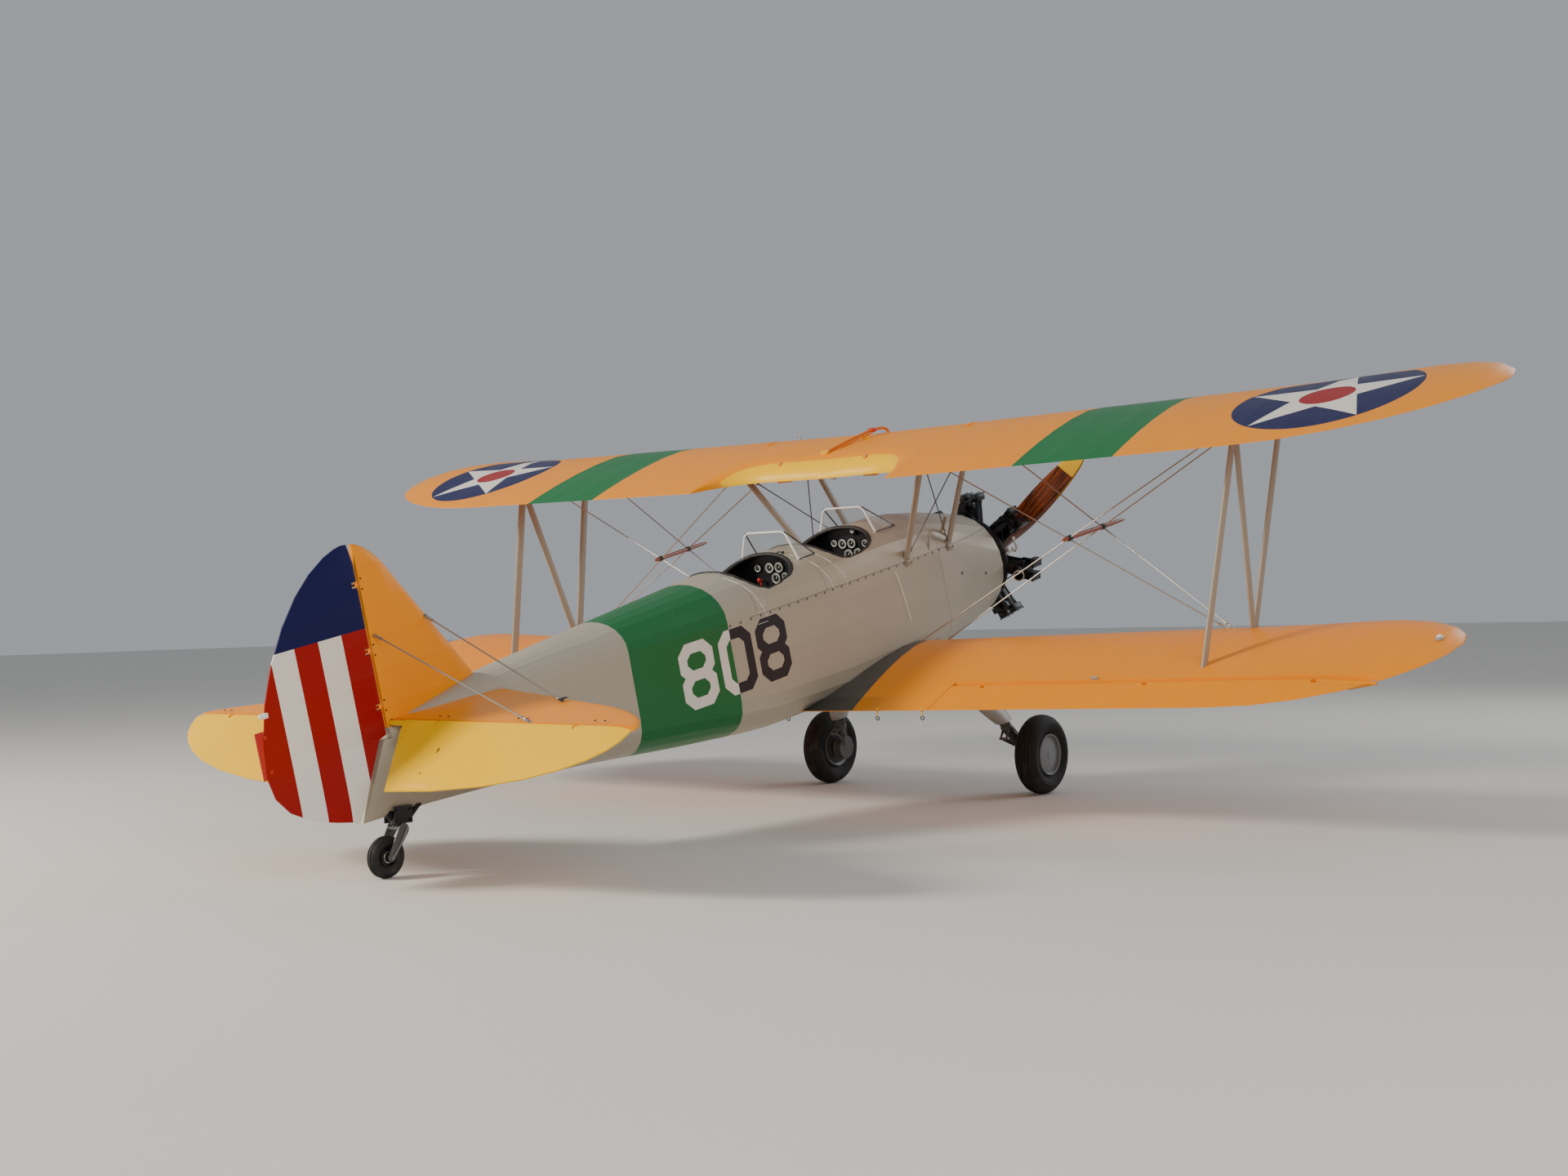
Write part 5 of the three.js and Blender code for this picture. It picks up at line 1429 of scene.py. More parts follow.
bm = bmesh.new()
slab(bm, (-7.5, 0, 0.145), (0.055, 0.0045, 0.26), 0.001)
for z in TAB_LUGS:
    slab(bm, (-7.472, 0, z), (0.02, 0.012, 0.02), 0.001)
piece("rudder_tab", bm, PAINTS["red_paint"], "rudder")

bm = bmesh.new()
lathe(bm, LAMP, facing((-1, 0, 0.1), (-7.452, 0, 0.352)), 20)
slab(bm, (-7.44, 0, 0.352), (0.03, 0.02, 0.03), 0.004)
piece("tail_lamp", bm, PAINTS["white_paint"], "rudder")

droop_frame = moved((-6.655, 0, 0.09)) @ spun(-DROOP, "Y")
bm = bmesh.new()
tabs = bmesh.new()
for side in BOTH:
    y = side * TAB_SPAN
    tube(bm, [droop_frame @ Vector((x, y, z)) for x, z in TAB_HORN], 0.006, 8)
    tube(bm, [droop_frame @ Vector((x, y, z)) for x, z in TAB_ROD], 0.003, 6)
    slab(bm, droop_frame @ moved((-0.46, y, -0.03)), (0.03, 0.014, 0.03), 0.003)
    slab(tabs, droop_frame @ moved((-0.43, y, 0)), (0.1, 0.26, 0.012), 0.003)
piece("elevator_tab_horns", bm, PAINTS["black_paint"], "elevators")
# The tabs are the elevators' yellow; their brighter yellow is painted sunlight, as on the elevators.
piece("elevator_tabs", tabs, PAINTS["bright_and_sunlit_yellow"], "elevators")

# %% [markdown]
# The tail wheel swivels under the stern. Its fork is two broad plates with round ends: the hull of
# four circles gives exactly that plate, so `link_plate` asks Blender for the hull. Everything here
# is placed from the hub, level with the ground, because the swivel's axis stands upright.

# %% Tail wheel fork


def link_plate(bm, start, end, start_radius, end_radius, thickness, frame):
    """A flat link with round ends between two points, square to the frame's Y axis."""
    plate = bmesh.new()
    for centre, radius in ((start, start_radius), (end, end_radius)):
        for shift in (-thickness / 2, thickness / 2):
            ring = facing((0, 1, 0), Vector(centre) + Vector((0, shift, 0)))
            bmesh.ops.create_circle(plate, segments=20, radius=radius, matrix=ring)
    bmesh.ops.convex_hull(plate, input=plate.verts)
    bmesh.ops.delete(plate, geom=[vert for vert in plate.verts if not vert.link_faces], context="VERTS")
    bmesh.ops.delete(plate, geom=[edge for edge in plate.edges if not edge.link_faces], context="EDGES")
    bmesh.ops.recalc_face_normals(plate, faces=plate.faces)
    rims = [edge for edge in plate.edges if edge.calc_face_angle(0) > radians(60)]
    break_edges(plate, rims, thickness * 0.2)
    stamp(bm, pattern(plate), frame)


TAIL_HUB = Vector((-6.858, 0, -0.637))
TRAIL = 0.082
FORK_TOP = (0.006, 0.15)
FORK_HALF = 0.052
RAIL = [(0.028, 0.16), (-0.012, 0.085), (-0.062, 0.016), (-TRAIL, 0.0)]
level_turn = TO_FLIGHT.to_3x3().to_4x4()
swivel_frame = moved(TAIL_HUB) @ level_turn @ moved((TRAIL, 0, 0))
axle_frame = swivel_frame @ moved((-TRAIL, 0, 0)) @ spun(-pi / 2, "X")


def swivel_drum(bm, low, high, radius):
    """A short drum on the swivel's axis."""
    start, end = (swivel_frame @ Vector((0, 0, z)) for z in (low, high))
    drum(bm, start, end, radius, sides=28, bevel=0.002)


bm = bmesh.new()
rails = bmesh.new()
for side in BOTH:
    y = side * FORK_HALF
    link_plate(bm, (FORK_TOP[0], y, FORK_TOP[1]), (-TRAIL, y, 0), 0.036, 0.024, 0.009, swivel_frame)
    bent_tube(rails, [swivel_frame @ Vector((x, side * 0.0595, z)) for x, z in RAIL], 0.0055, 8)
    nut = axle_frame @ moved((0, 0, side * 0.057)) @ spun(pi * (side < 0), "X")
    bolt_circle(rails, nut, 0, 1, 0.012)
slab(bm, swivel_frame @ moved((0.004, 0, 0.154)), (0.062, 0.112, 0.018), 0.004)
swivel_drum(bm, 0.158, 0.172, 0.03)
piece("tail_fork_plates", bm, PAINTS["fitting_paint"], "tail_fork", ["tail_wheel_fork"])
drum(rails, axle_frame @ Vector((0, 0, -0.056)), axle_frame @ Vector((0, 0, 0.056)), 0.01, sides=20)
piece("tail_fork_rails", rails, PAINTS["bare_steel"], "tail_fork")

# %% [markdown]
# Above the fork, a bolted box and its struts carry the swivel under the keel. The box stays over
# the fork's round plates, so that the fork can swivel below it. Rays from the box find the keel.

# %% Tail wheel bracket
BRACKET_BOLTS = {"x": (-0.04, 0.06), "z": (0.2, 0.262), "y": 0.048}

bm = bmesh.new()
slab(bm, swivel_frame @ moved((0.01, 0, 0.215)), (0.1, 0.082, 0.048), 0.006)
for side in BOTH:
    slab(bm, swivel_frame @ moved((0.012, side * 0.044, 0.232)), (0.13, 0.008, 0.1), 0.002)
    for z in BRACKET_BOLTS["z"]:
        for x in BRACKET_BOLTS["x"]:
            spot = swivel_frame @ Vector((x, side * BRACKET_BOLTS["y"], z))
            fasten(bm, HEX_BOLT, spot, (0, side, 0), 0.0075)
    foot = swivel_frame @ Vector((0.05, side * 0.035, 0.19))
    for reach in (0.2, 0.3):
        top, _ = meets(BODY_SKIN, foot, foot + Vector((reach, 0, 0.09 + reach * 0.33)))
        drum(bm, foot, top, 0.008, sides=10)
swivel_drum(bm, 0.1735, 0.193, 0.04)
piece("tail_bracket_plates", bm, PAINTS["black_paint"])

# %% [markdown]
# The tail wheel is the main wheel in small: the same tyre outline with two grooves, a cast rim with
# a thin web, and a bright ring round the bearing on either face.

# %% Tail wheel
TAIL_TYRE = {"radius": 0.12, "half": 0.038, "bead": 0.058}
TAIL_GROOVES = (-0.012, 0.012)
TAIL_RIM = [
    (-0.024, 0.0108), (-0.024, 0.02), (-0.018, 0.024), (-0.014, 0.044), (-0.024, 0.05), (-0.03, 0.052),
    (-0.031, 0.0575), (0.031, 0.0575), (0.03, 0.052), (0.024, 0.05), (0.014, 0.044), (0.018, 0.024),
    (0.024, 0.02), (0.024, 0.0108), (-0.024, 0.0108),
]
HUB_RING = [(0.018, 0.027), (0.026, 0.028), (0.0275, 0.031), (0.026, 0.034), (0.016, 0.035), (0.018, 0.027)]

bm = bmesh.new()
lathe(bm, tyre_outline(*TAIL_TYRE.values(), TAIL_GROOVES), axle_frame, 64)
piece("tail_tyre_ribbed", bm, RUBBER, "tail_wheel", ["tail_wheel_tyre"], 24)
bm = bmesh.new()
lathe(bm, TAIL_RIM, axle_frame, 48)
piece("tail_rim_cast", bm, PAINTS["black_paint"], "tail_wheel", ["tail_wheel_rim"])
bm = bmesh.new()
for way in (Matrix(), INWARD):
    lathe(bm, HUB_RING, axle_frame @ way, 40)
piece("tail_hub_rings", bm, PAINTS["bare_steel"], "tail_wheel")

# %% [markdown]
# The fuselage's sheet panels are held by turn-lock screws along the side seam and round the band. A
# ray from outside finds the skin, and each screw is stood on it along the skin's own normal.

# %% Panel screws
SEAM_SCREWS = {"x": -1.45, "pitch": 0.1, "count": 27, "size": 0.0085}
CROWN_SCREWS = {"x": -4.46, "from": -72, "pitch": 8, "count": 19}
BAND_SCREWS = {"x": -4.4, "pitch": 0.065, "count": 6}
BAND_SCREW_SIZE = 0.006
NOSE_SCREWS = ((-1.295, -0.204), (-0.945, -0.279))

bm = bmesh.new()
for side in BOTH:
    for k in range(SEAM_SCREWS["count"]):
        spot = from_side(SEAM_SCREWS["x"] - SEAM_SCREWS["pitch"] * k, SEAM_Z, side)
        fasten(bm, DOME_SCREW, *spot, SEAM_SCREWS["size"])
    for k in range(BAND_SCREWS["count"]):
        spot = from_side(BAND_SCREWS["x"] + BAND_SCREWS["pitch"] * k, SEAM_Z, side)
        fasten(bm, DOME_SCREW, *spot, BAND_SCREW_SIZE)
    for x, z in NOSE_SCREWS:
        fasten(bm, DOME_SCREW, *from_side(x, z, side), 0.013)
for k in range(CROWN_SCREWS["count"]):
    turn = radians(CROWN_SCREWS["from"] + CROWN_SCREWS["pitch"] * k)
    fasten(bm, DOME_SCREW, *on_crown(CROWN_SCREWS["x"], turn), BAND_SCREW_SIZE)
piece("panel_screws", bm, PAINTS["fitting_paint"])

# %% [markdown]
# Raised beads cover the joints in the deck, and small hinged flaps show where it comes off. A bead
# is a thin tube half sunk in the skin, run through places that rays have found.

# %% Panel beads
DECK_BEADS = [(-2.93, 0.45), (-2.77, 0.5), (-3.69, 0.45)]
FLAPS = ((-2.84, -2.765), (-3.745, -3.68))
FLAP_HEIGHTS = (0.155, 0.092)


def bead(bm, places, radius=0.0035, sides=6):
    tube(bm, [place + normal * radius * 0.1 for place, normal in places], radius, sides)


def deck_bead(bm, station, rake, side):
    """A bead from near the deck's crown down to the side seam, swept forward as it falls."""
    steps = [k / 8 for k in range(9)]
    bead(bm, [on_crown(station - rake * 0.28 * (1 - t), side * radians(24 + 52 * t)) for t in steps])


def flap_bead(bm, x_from, x_to, side):
    top, low = FLAP_HEIGHTS
    corners = ((x_from, top), (x_from + 0.02, low), (x_to, low), (x_to - 0.015, top))
    for (xa, za), (xb, zb) in zip(corners, corners[1:]):
        places = [(xa, za), ((xa + xb) / 2, (za + zb) / 2), (xb, zb)]
        bead(bm, [from_side(x, z, side) for x, z in places], 0.002)


bm = bmesh.new()
for side in BOTH:
    for station, rake in DECK_BEADS:
        deck_bead(bm, station, rake, side)
    door = [from_side(-2.19 + 0.085 * (k / 9) ** 0.6, -0.4 * k / 9, side) for k in range(10)]
    bead(bm, door, 0.008)
    keel = [from_side(-2.36 + 0.138 * k / 4, -0.521 - 0.11 * k / 4, side) for k in range(5)]
    bead(bm, keel, 0.003)
    for x_from, x_to in FLAPS:
        flap_bead(bm, x_from, x_to, side)
    for height in (-0.02, 0.055):
        bead(bm, [from_side(-3.79 + 0.02 * k, height, side) for k in range(6)], 0.0018)
piece("panel_beads", bm, weathered_paint("bead_paint", "#d8d3c8", 0.4))

# %% [markdown]
# Short struts hold the upper wing's middle over the fuselage, and thin wires cross between them. A
# bent handle stands by the front pair, and each strut's foot is bolted through a plate.

# %% Cabane wires and handles
CABANE_FEET = {"front": (-1.395, 0.43, 0.045), "rear": (-1.99, 0.43, 0.045)}
CABANE_TOPS = {"front": (0.793, 0.111), "rear": (0.854, 0.622)}
HANDLE_Y = 0.435
# route, radius and sides of the rail, its leg and its fork
HANDLE_TUBES = [
    ([(-1.649, 0.2), (-1.57, 0.186), (-1.493, 0.152), (-1.43, 0.12)], 0.0105, 12),
    ([(-1.68, 0.045), (-1.665, 0.12), (-1.649, 0.2)], 0.005, 10),
    ([(-1.49, 0.15), (-1.44, 0.19), (-1.395, 0.25)], 0.012, 12),
]


def foot_plate(bm, x, z, side):
    place, normal = from_side(x, z - 0.02, side)
    plate = facing(normal, place)
    slab(bm, plate @ moved((0, 0, 0.006)), (0.075, 0.05, 0.012), 0.003)
    for shift in (-0.026, 0.026):
        stamp(bm, HEX_BOLT, plate @ moved((shift, 0, 0.012)) @ Matrix.Scale(0.0075, 4))


bm = bmesh.new()
handles = bmesh.new()
for side in BOTH:
    feet, tops = {}, {}
    for end, (x, y, z) in CABANE_FEET.items():
        feet[end] = Vector((x, side * y, z))
        tops[end] = wing_point(UPPER, side, *CABANE_TOPS[end], WIRE_LIFT)
        foot_plate(handles, x, z, side)
    wire(bm, feet["rear"], tops["front"], BODY_SKIN, UPPER_SKIN)
    wire(bm, tops["rear"], feet["front"], UPPER_SKIN, BODY_SKIN)
    for route, radius, sides in HANDLE_TUBES:
        bent_tube(handles, [(x, side * HANDLE_Y, z) for x, z in route], radius, sides)
piece("cabane_wires", bm, PAINTS["fitting_paint"])
piece("cabane_handles", handles, PAINTS["strut_paint"])

# %% [markdown]
# Two small cast fittings and a pipe shine against the black engine on the starboard side. They are
# drums with a ball at the joint, placed from the photograph, and too small to need more.

# %% Bright engine fittings
bm = bmesh.new()
drum(bm, (-0.52, -0.486, -0.1), (-0.505, -0.5, -0.17), 0.009, sides=12, bevel=0.001)
ball(bm, (-0.521, -0.485, -0.093), 0.016)
drum(bm, (-0.545, -0.41, -0.214), (-0.47, -0.43, -0.2), 0.0085, sides=12, bevel=0.001)
ball(bm, (-0.505, -0.496, -0.172), 0.012)
bright_pipe = [(-0.505, -0.49, -0.17), (-0.49, -0.47, -0.205), (-0.46, -0.43, -0.2), (-0.42, -0.4, -0.19)]
bent_tube(bm, bright_pipe, 0.006, 8)
cast_light = weathered_paint("cast_light", "#cfc9ba", 0.4, Metallic=0.4)
piece("engine_bright_fittings", bm, cast_light)

# %% [markdown]
# On top of the upper wing's middle, a handle helps the crew climb to the filler cap. Its tube
# follows the wing, so its height at each point is counted from the skin that a ray finds there.

# %% Handle and filler cap
# forward, to port and over the skin
GRAB_HANDLE = [
    (-2.104, 0.064, 0.006), (-1.98, 0.025, 0.018), (-1.86, -0.016, 0.03), (-1.7, -0.068, 0.045),
    (-1.6, -0.1, 0.047), (-1.55, -0.115, 0.03), (-1.535, -0.12, 0.0),
]
FILLER_CAP = [(-0.01, 0), (-0.01, 0.034), (0.012, 0.034), (0.016, 0.03), (0.02, 0.02), (0.022, 0)]

bm = bmesh.new()
path = []
for x, y, lift in GRAB_HANDLE:
    place, normal = from_above(UPPER_SKIN, x, y)
    path.append(place + normal * lift)
bent_tube(bm, path, 0.0115, 14)
bent_tube(bm, [point + Vector((0, -0.028, -0.012)) for point in path[:4]], 0.006, 10)
piece("grab_handle", bm, PAINTS["orange_paint"])

bm = bmesh.new()
place, normal = from_above(UPPER_SKIN, -2.13, 0.072)
slab(bm, facing(normal, place + normal * 0.01), (0.06, 0.045, 0.024), 0.006)
cap_place, cap_normal = from_above(UPPER_SKIN, -1.75, -0.055)
lathe(bm, FILLER_CAP, facing(cap_normal, cap_place), 32)
piece("filler_cap", bm, PAINTS["bright_and_sunlit_yellow"])
bm = bmesh.new()
slab(bm, facing(cap_normal, path[3] + Vector((0.03, -0.005, 0.004))), (0.07, 0.03, 0.028), 0.006)
piece("handle_grip", bm, PAINTS["red_paint"])

# %% [markdown]
# The upper wing's middle is cut away behind so that the crew can see up. Its thick rounded edge has
# two vents, and a fuel gauge's bulb hangs below, where both can read it.

# %% Vents, gauge and fairings
CUT_X = -2.35
VENTS = (0.411, -0.394)
GAUGE = {"x": CUT_X + 0.1, "y": -0.06}
FAIRINGS = (0.347, -0.462)


def from_below(x, y):
    return meets(UPPER_SKIN, (x, y, 0.2), (x, y, 1.5))


bm = bmesh.new()
for y in VENTS:
    place, normal = meets(UPPER_SKIN, (-3.2, y, 0.868), (-1.5, y, 0.868))
    ball(bm, place + normal * 0.002, 0.017, (0.6, 1, 1), 16)
    drum(bm, place + normal * 0.002, place + Vector((0.004, 0, 0.034)), 0.012, 0.003, 12)
piece("wing_vents", bm, PAINTS["orange_paint"])

bm = bmesh.new()
place, _ = from_below(GAUGE["x"], GAUGE["y"])
ball(bm, place, 0.034, (1, 1.1, 0.85), 20)
drum(bm, place + Vector((0, 0, 0.03)), place - Vector((0, 0, 0.006)), 0.04, sides=28, bevel=0.002)
piece("fuel_gauge", bm, PAINTS["white_paint"])

bm = bmesh.new()
for y in FAIRINGS:
    place, normal = from_below(CUT_X + 0.06, y)
    slab(bm, facing(normal, place), (0.13, 0.09, 0.012), 0.003)
for side in BOTH:
    place, _ = from_above(UPPER_SKIN, -1.64, side * 0.95)
    ball(bm, place, 0.05, (1.5, 0.55, 0.28), 20)
piece("wing_fairings", bm, weathered_paint("fairing_yellow", "#ef8f10", 0.35))

# %% [markdown]
# A lifting eye and a bent hook stand on the upper wing by the port cabane. Below, hooks with
# rings hang from the lower wing's trailing edge, for covers and tie-downs.

# %% Lifting loops and hooks
EYE_RADIUS = 0.02
HOOK_SPANS = (0.19, 0.97, 1.34)
HOOK_DROP = 0.05


def ring_path(centre, radius, count, shift=0.0):
    """A ring that stands across the aircraft."""
    turns = (2 * pi * k / count for k in range(count))
    return [centre + Vector((0, radius * sin(turn), radius * cos(turn) + shift)) for turn in turns]


bm = bmesh.new()
place, normal = from_above(UPPER_SKIN, -1.32, 0.93)
eye = place + normal * 0.045
tube(bm, ring_path(eye + Vector((0.004, 0, 0)), EYE_RADIUS, 18), 0.0035, 8, closed=True)
drum(bm, place, eye - normal * EYE_RADIUS, 0.004, sides=10)
place, normal = from_above(UPPER_SKIN, -1.32, 0.84)
bend = place + normal * 0.02 + Vector((0, -0.01, 0))
bent_tube(bm, [place, bend, place + normal * 0.038 + Vector((0.004, -0.03, 0))], 0.005, 10)
piece("wing_lift_loops", bm, PAINTS["strut_paint"])

bm = bmesh.new()
rings = bmesh.new()
for span in HOOK_SPANS:
    for side in BOTH:
        edge = wing_point(LOWER, side, span, 0.985, 0.004)
        low = edge + Vector((-0.012, 0, -HOOK_DROP))
        drum(bm, edge, low, 0.0065, 0.005, 10, 0.001)
        ball(bm, edge, 0.01, (1.4, 1, 0.8))
        tube(rings, ring_path(low, 0.013, 16, -0.012), 0.0035, 8, closed=True)
piece("hook_shanks", bm, PAINTS["bright_and_sunlit_yellow"])
piece("hook_rings", rings, PAINTS["black_paint"])

# %% [markdown]
# Under the wings, round rings in the fabric let a mechanic reach the bolts inside. On top of the
# lower tips, a small lamp stands under a white glass, and a block covers each aileron's hinge.

# %% Inspection rings and tip lamps
# span and chord fraction of each ring
LOWER_RINGS = [(1.25, 0.42), (2.1, 0.42), (3.3, 0.3)]
UPPER_RINGS = [(1.5, 0.4), (3.2, 0.42), (4.0, 0.4)]
RING = [(-0.002, 0), (-0.002, 0.052), (0.0012, 0.052), (0.0022, 0.048), (0.0014, 0.044), (0.0014, 0)]

bm = bmesh.new()
for side in BOTH:
    for wing, skin, spots in ((LOWER, LOWER_SKIN, LOWER_RINGS), (UPPER, UPPER_SKIN, UPPER_RINGS)):
        for span, fraction in spots:
            point = wing_point(wing, side, span, fraction)
            place, normal = meets(skin, point - Vector((0, 0, 0.6)), point)
            lathe(bm, RING, facing(normal, place), 36)
piece("inspection_rings", bm, weathered_paint("ring_yellow", "#f09a12", 0.35))

bm = bmesh.new()
glass = bmesh.new()
for side in BOTH:
    tip = wing_point(LOWER, side, 4.5, 0.4)
    place, normal = from_above(LOWER_SKIN, tip.x, tip.y)
    ball(bm, place, 0.03, (1.6, 0.8, 0.5), 16)
    ball(glass, place + normal * 0.008, 0.02, (1.3, 0.8, 0.9), 16)
    hinge, hinge_normal = from_above(LOWER_SKIN, -3.0, side * 2.459)
    slab(bm, facing(hinge_normal, hinge + hinge_normal * 0.008), (0.05, 0.022, 0.014), 0.004)
piece("tip_lamp_bases", bm, PAINTS["gear_paint"])
piece("tip_lamp_glasses", glass, PAINTS["white_paint"])

# %% [markdown]
# Each cockpit has a black panel of round dials. A dial's face is a thin disc that carries its own
# coordinates, from -1 to 1, so the ticks and the hand are worked out from angle and radius. Cut
# shapes would do too, but sums in the finish stay sharp and add no triangles.

# %% Dial faces


def dial_finish(name):
    """A black face with pale ticks, one hand and a hub, drawn on the disc's own coordinates."""
    finish = Finish(name)
    attribute = finish.node("Attribute", {"attribute_name": "dial"}, out=1)
    across, up, _ = finish.axes(attribute)
    radius = (across * across + up * up) ** 0.5
    angle = finish.node("Math", {"operation": "ARCTAN2"}, [across, up])
    ticks = finish.line(finish.wave(angle, pi / 10), 0.07) * (radius > 0.66) * (radius < 0.9)
    on_hand = finish.line(abs(across * 0.8 - up * 0.6), 0.1)
    hand = on_hand * (across * 0.6 + up * 0.8 > 0) * (radius < 0.62)
    mark = radius.maths("MAXIMUM", ticks, hand)
    mark = radius.maths("MAXIMUM", mark, radius < 0.12)
    finish.feed("Base Color", finish.mix(linear("#0c0d0f"), linear("#e6e3d6"), mark))
    finish.feed("Roughness", finish.noise(finish.rest, 90, 2) * 0.2 + 0.2)
    return finish


def dial_disc(bm, frame, radius):
    """A flat disc with coordinates for the dial's marks."""
    layer = bm.verts.layers.float_vector.get("dial") or bm.verts.layers.float_vector.new("dial")
    made = bmesh.ops.create_cone(
        bm, cap_ends=True, segments=32, radius1=radius, radius2=radius, depth=0.005,
    )
    for vert in made["verts"]:
        vert[layer] = vert.co / radius
        vert.co = frame @ vert.co


DIAL_FACE = dial_finish("dial_face")
print("dial marks are drawn by", len(DIAL_FACE.tree.nodes), "shader nodes")

# %% [markdown]
# A dial is a pale turned ring round its face, in a dark case with four screws. All of them stand on
# the panel's own face and are placed from one list, so the two panels are built by the same loop.

# %% Panel dials
COCKPITS = {
    "front": {
        "from": -2.15, "to": -2.805, "half": (0.335, 0.39),
        "panel": -2.085, "seat": -2.7, "screen": 0.27,
    },
    "rear": {
        "from": -3.12, "to": -3.75, "half": (0.33, 0.372),
        "panel": -3.05, "seat": -3.645, "screen": 0.2,
    },
}
# to port, up and radius
DIALS = {
    "front": [
        (0.062, 0.203, 0.034), (-0.024, 0.204, 0.034), (0.018, 0.12, 0.036),
        (-0.072, 0.129, 0.032), (0.14, 0.21, 0.024), (-0.15, 0.2, 0.026),
    ],
    "rear": [
        (0.02, 0.22, 0.034), (-0.067, 0.221, 0.034), (-0.027, 0.142, 0.036),
        (-0.111, 0.155, 0.024), (0.13, 0.22, 0.024),
    ],
}
SQUARES = {"front": (-0.059, 0.303), "rear": (-0.109, 0.311)}
PANEL_FACE = 0.0145
DIAL_TURN = spun(-pi / 2, "Y") @ spun(-pi / 2, "Z")


def dial_rim(radius):
    inner = radius - 0.004
    return [
        (-0.002, inner), (-0.002, radius + 0.002), (0.005, radius + 0.001), (0.007, radius - 0.001),
        (0.005, inner), (-0.002, inner),
    ]


def dial_case(radius):
    outer = radius + 0.008
    return [(0, 0), (0, outer), (-0.001, outer), (-0.0015, radius + 0.007), (-0.0015, 0)]


for name, dials in DIALS.items():
    x = COCKPITS[name]["panel"] - PANEL_FACE
    rims, faces, cases = bmesh.new(), bmesh.new(), bmesh.new()
    for y, z, radius in dials:
        place = moved((x, y, z)) @ DIAL_TURN
        lathe(rims, dial_rim(radius), place, 32)
        dial_disc(faces, place, radius - 0.003)
        lathe(cases, dial_case(radius), place, 24)
        bolt_circle(cases, place, radius + 0.0065, 4, 0.0018, DOME_SCREW)
    y, z = SQUARES[name]
    slab(cases, (x - 0.006, y, z), (0.02, 0.056, 0.056), 0.005)
    slab(cases, (x + 0.002, 0, 0.06), (0.012, 0.36, 0.03), 0.003)
    piece(f"dial_rims_{name}", rims, PAINTS["white_paint"])
    piece(f"dial_faces_{name}", faces, DIAL_FACE)
    piece(f"dial_cases_{name}", cases, PAINTS["black_paint"])

# %% [markdown]
# Each panel has one red knob with a safety hook, a white lever below it and a white button on its
# square box. They are small turned and bent pieces, given by their steps from one place.

# %% Knobs and levers
KNOBS = {"front": (0.143, 0.117), "rear": (0.105, 0.134)}
KNOB_HOOK = [(-0.03, -0.006, -0.008), (-0.036, -0.012, -0.026), (-0.034, -0.008, -0.042)]
LEVER = [(0, 0.01, -0.062), (-0.05, -0.004, -0.064), (-0.1, -0.02, -0.058)]
BUTTON = [(0, 0.0), (0, 0.017), (0.003, 0.019), (0.006, 0.017), (0.006, 0)]


def stepped(place, steps):
    """Points that are given by their steps from one place."""
    return [tuple(start + step for start, step in zip(place, one)) for one in steps]


for name, (y, z) in KNOBS.items():
    x = COCKPITS[name]["panel"] - PANEL_FACE
    bm = bmesh.new()
    drum(bm, (x, y, z), (x - 0.03, y, z), 0.005, sides=10)
    ball(bm, (x - 0.036, y, z + 0.004), 0.014, (1, 1, 1.3), 14)
    bent_tube(bm, stepped((x, y, z), KNOB_HOOK), 0.005, 8)
    piece(f"panel_knob_{name}", bm, PAINTS["red_paint"])
    bm = bmesh.new()
    bent_tube(bm, stepped((x, y, z), LEVER), 0.007, 10)
    button_place = moved((x - 0.016, *SQUARES[name]))
    lathe(bm, BUTTON, button_place @ spun(-pi / 2, "Y"), 24)
    piece(f"panel_lever_{name}", bm, PAINTS["white_paint"])

# %% [markdown]
# Round each opening runs a padded leather tube, laced on through the deck. Its path is a soft oblong
# that widens towards the back. It is laid on the deck by rays and then smoothed, because the deck's
# facets would make it jump. The tube swells a little between the laces.

# %% Coaming pads
RIM_POINTS = 72
LACE_EVERY = 6
PAD_RADIUS = 0.0155
PAD_SWELL = 0.0016


def opening_path(cockpit):
    """The rim of an opening, laid on the deck just outside it."""
    middle = (cockpit["from"] + cockpit["to"]) / 2
    reach = (cockpit["from"] - cockpit["to"]) / 2
    narrow, wide = cockpit["half"]
    places = []
    for k in range(RIM_POINTS):
        turn = 2 * pi * k / RIM_POINTS
        soft_cos, soft_sin = (abs(v) ** 0.62 * (1 if v >= 0 else -1) for v in (cos(turn), sin(turn)))
        x = middle + reach * soft_cos
        along = (cockpit["from"] - x) / (cockpit["from"] - cockpit["to"])
        y = (narrow + (wide - narrow) * along) * soft_sin
        out = Vector((x - middle, y, 0)).normalized() * 0.022
        skin, _ = on_deck(x + out.x, y + out.y)
        places.append(Vector((x, y, skin.z)))
    return places


def smooth_loop(path, times=3):
    for _ in range(times):
        path = [(path[i - 1] + path[i] * 2 + path[(i + 1) % len(path)]) / 4 for i in range(len(path))]
    return path


for name, cockpit in COCKPITS.items():
    rim = smooth_loop(opening_path(cockpit))
    radii = [PAD_RADIUS + PAD_SWELL * abs(sin(pi * k / LACE_EVERY)) for k in range(RIM_POINTS)]
    bm = bmesh.new()
    tube(bm, rim, radii, 14, closed=True)
    covered = [f"coaming_{name}"]
    pad = piece(f"coaming_pad_{name}", bm, LEATHER, replaces=covered, limit=60)
    bm = bmesh.new()
    for k in range(0, RIM_POINTS, LACE_EVERY):
        half_lace = (rim[(k + 1) % RIM_POINTS] - rim[k - 1]) * 0.03
        drum(bm, rim[k] - half_lace, rim[k] + half_lace, 0.0162, sides=14)
    lace = weathered_paint(f"lacing_{name}", "#2a251f", 0.7)
    piece(f"coaming_lacing_{name}", bm, lace)

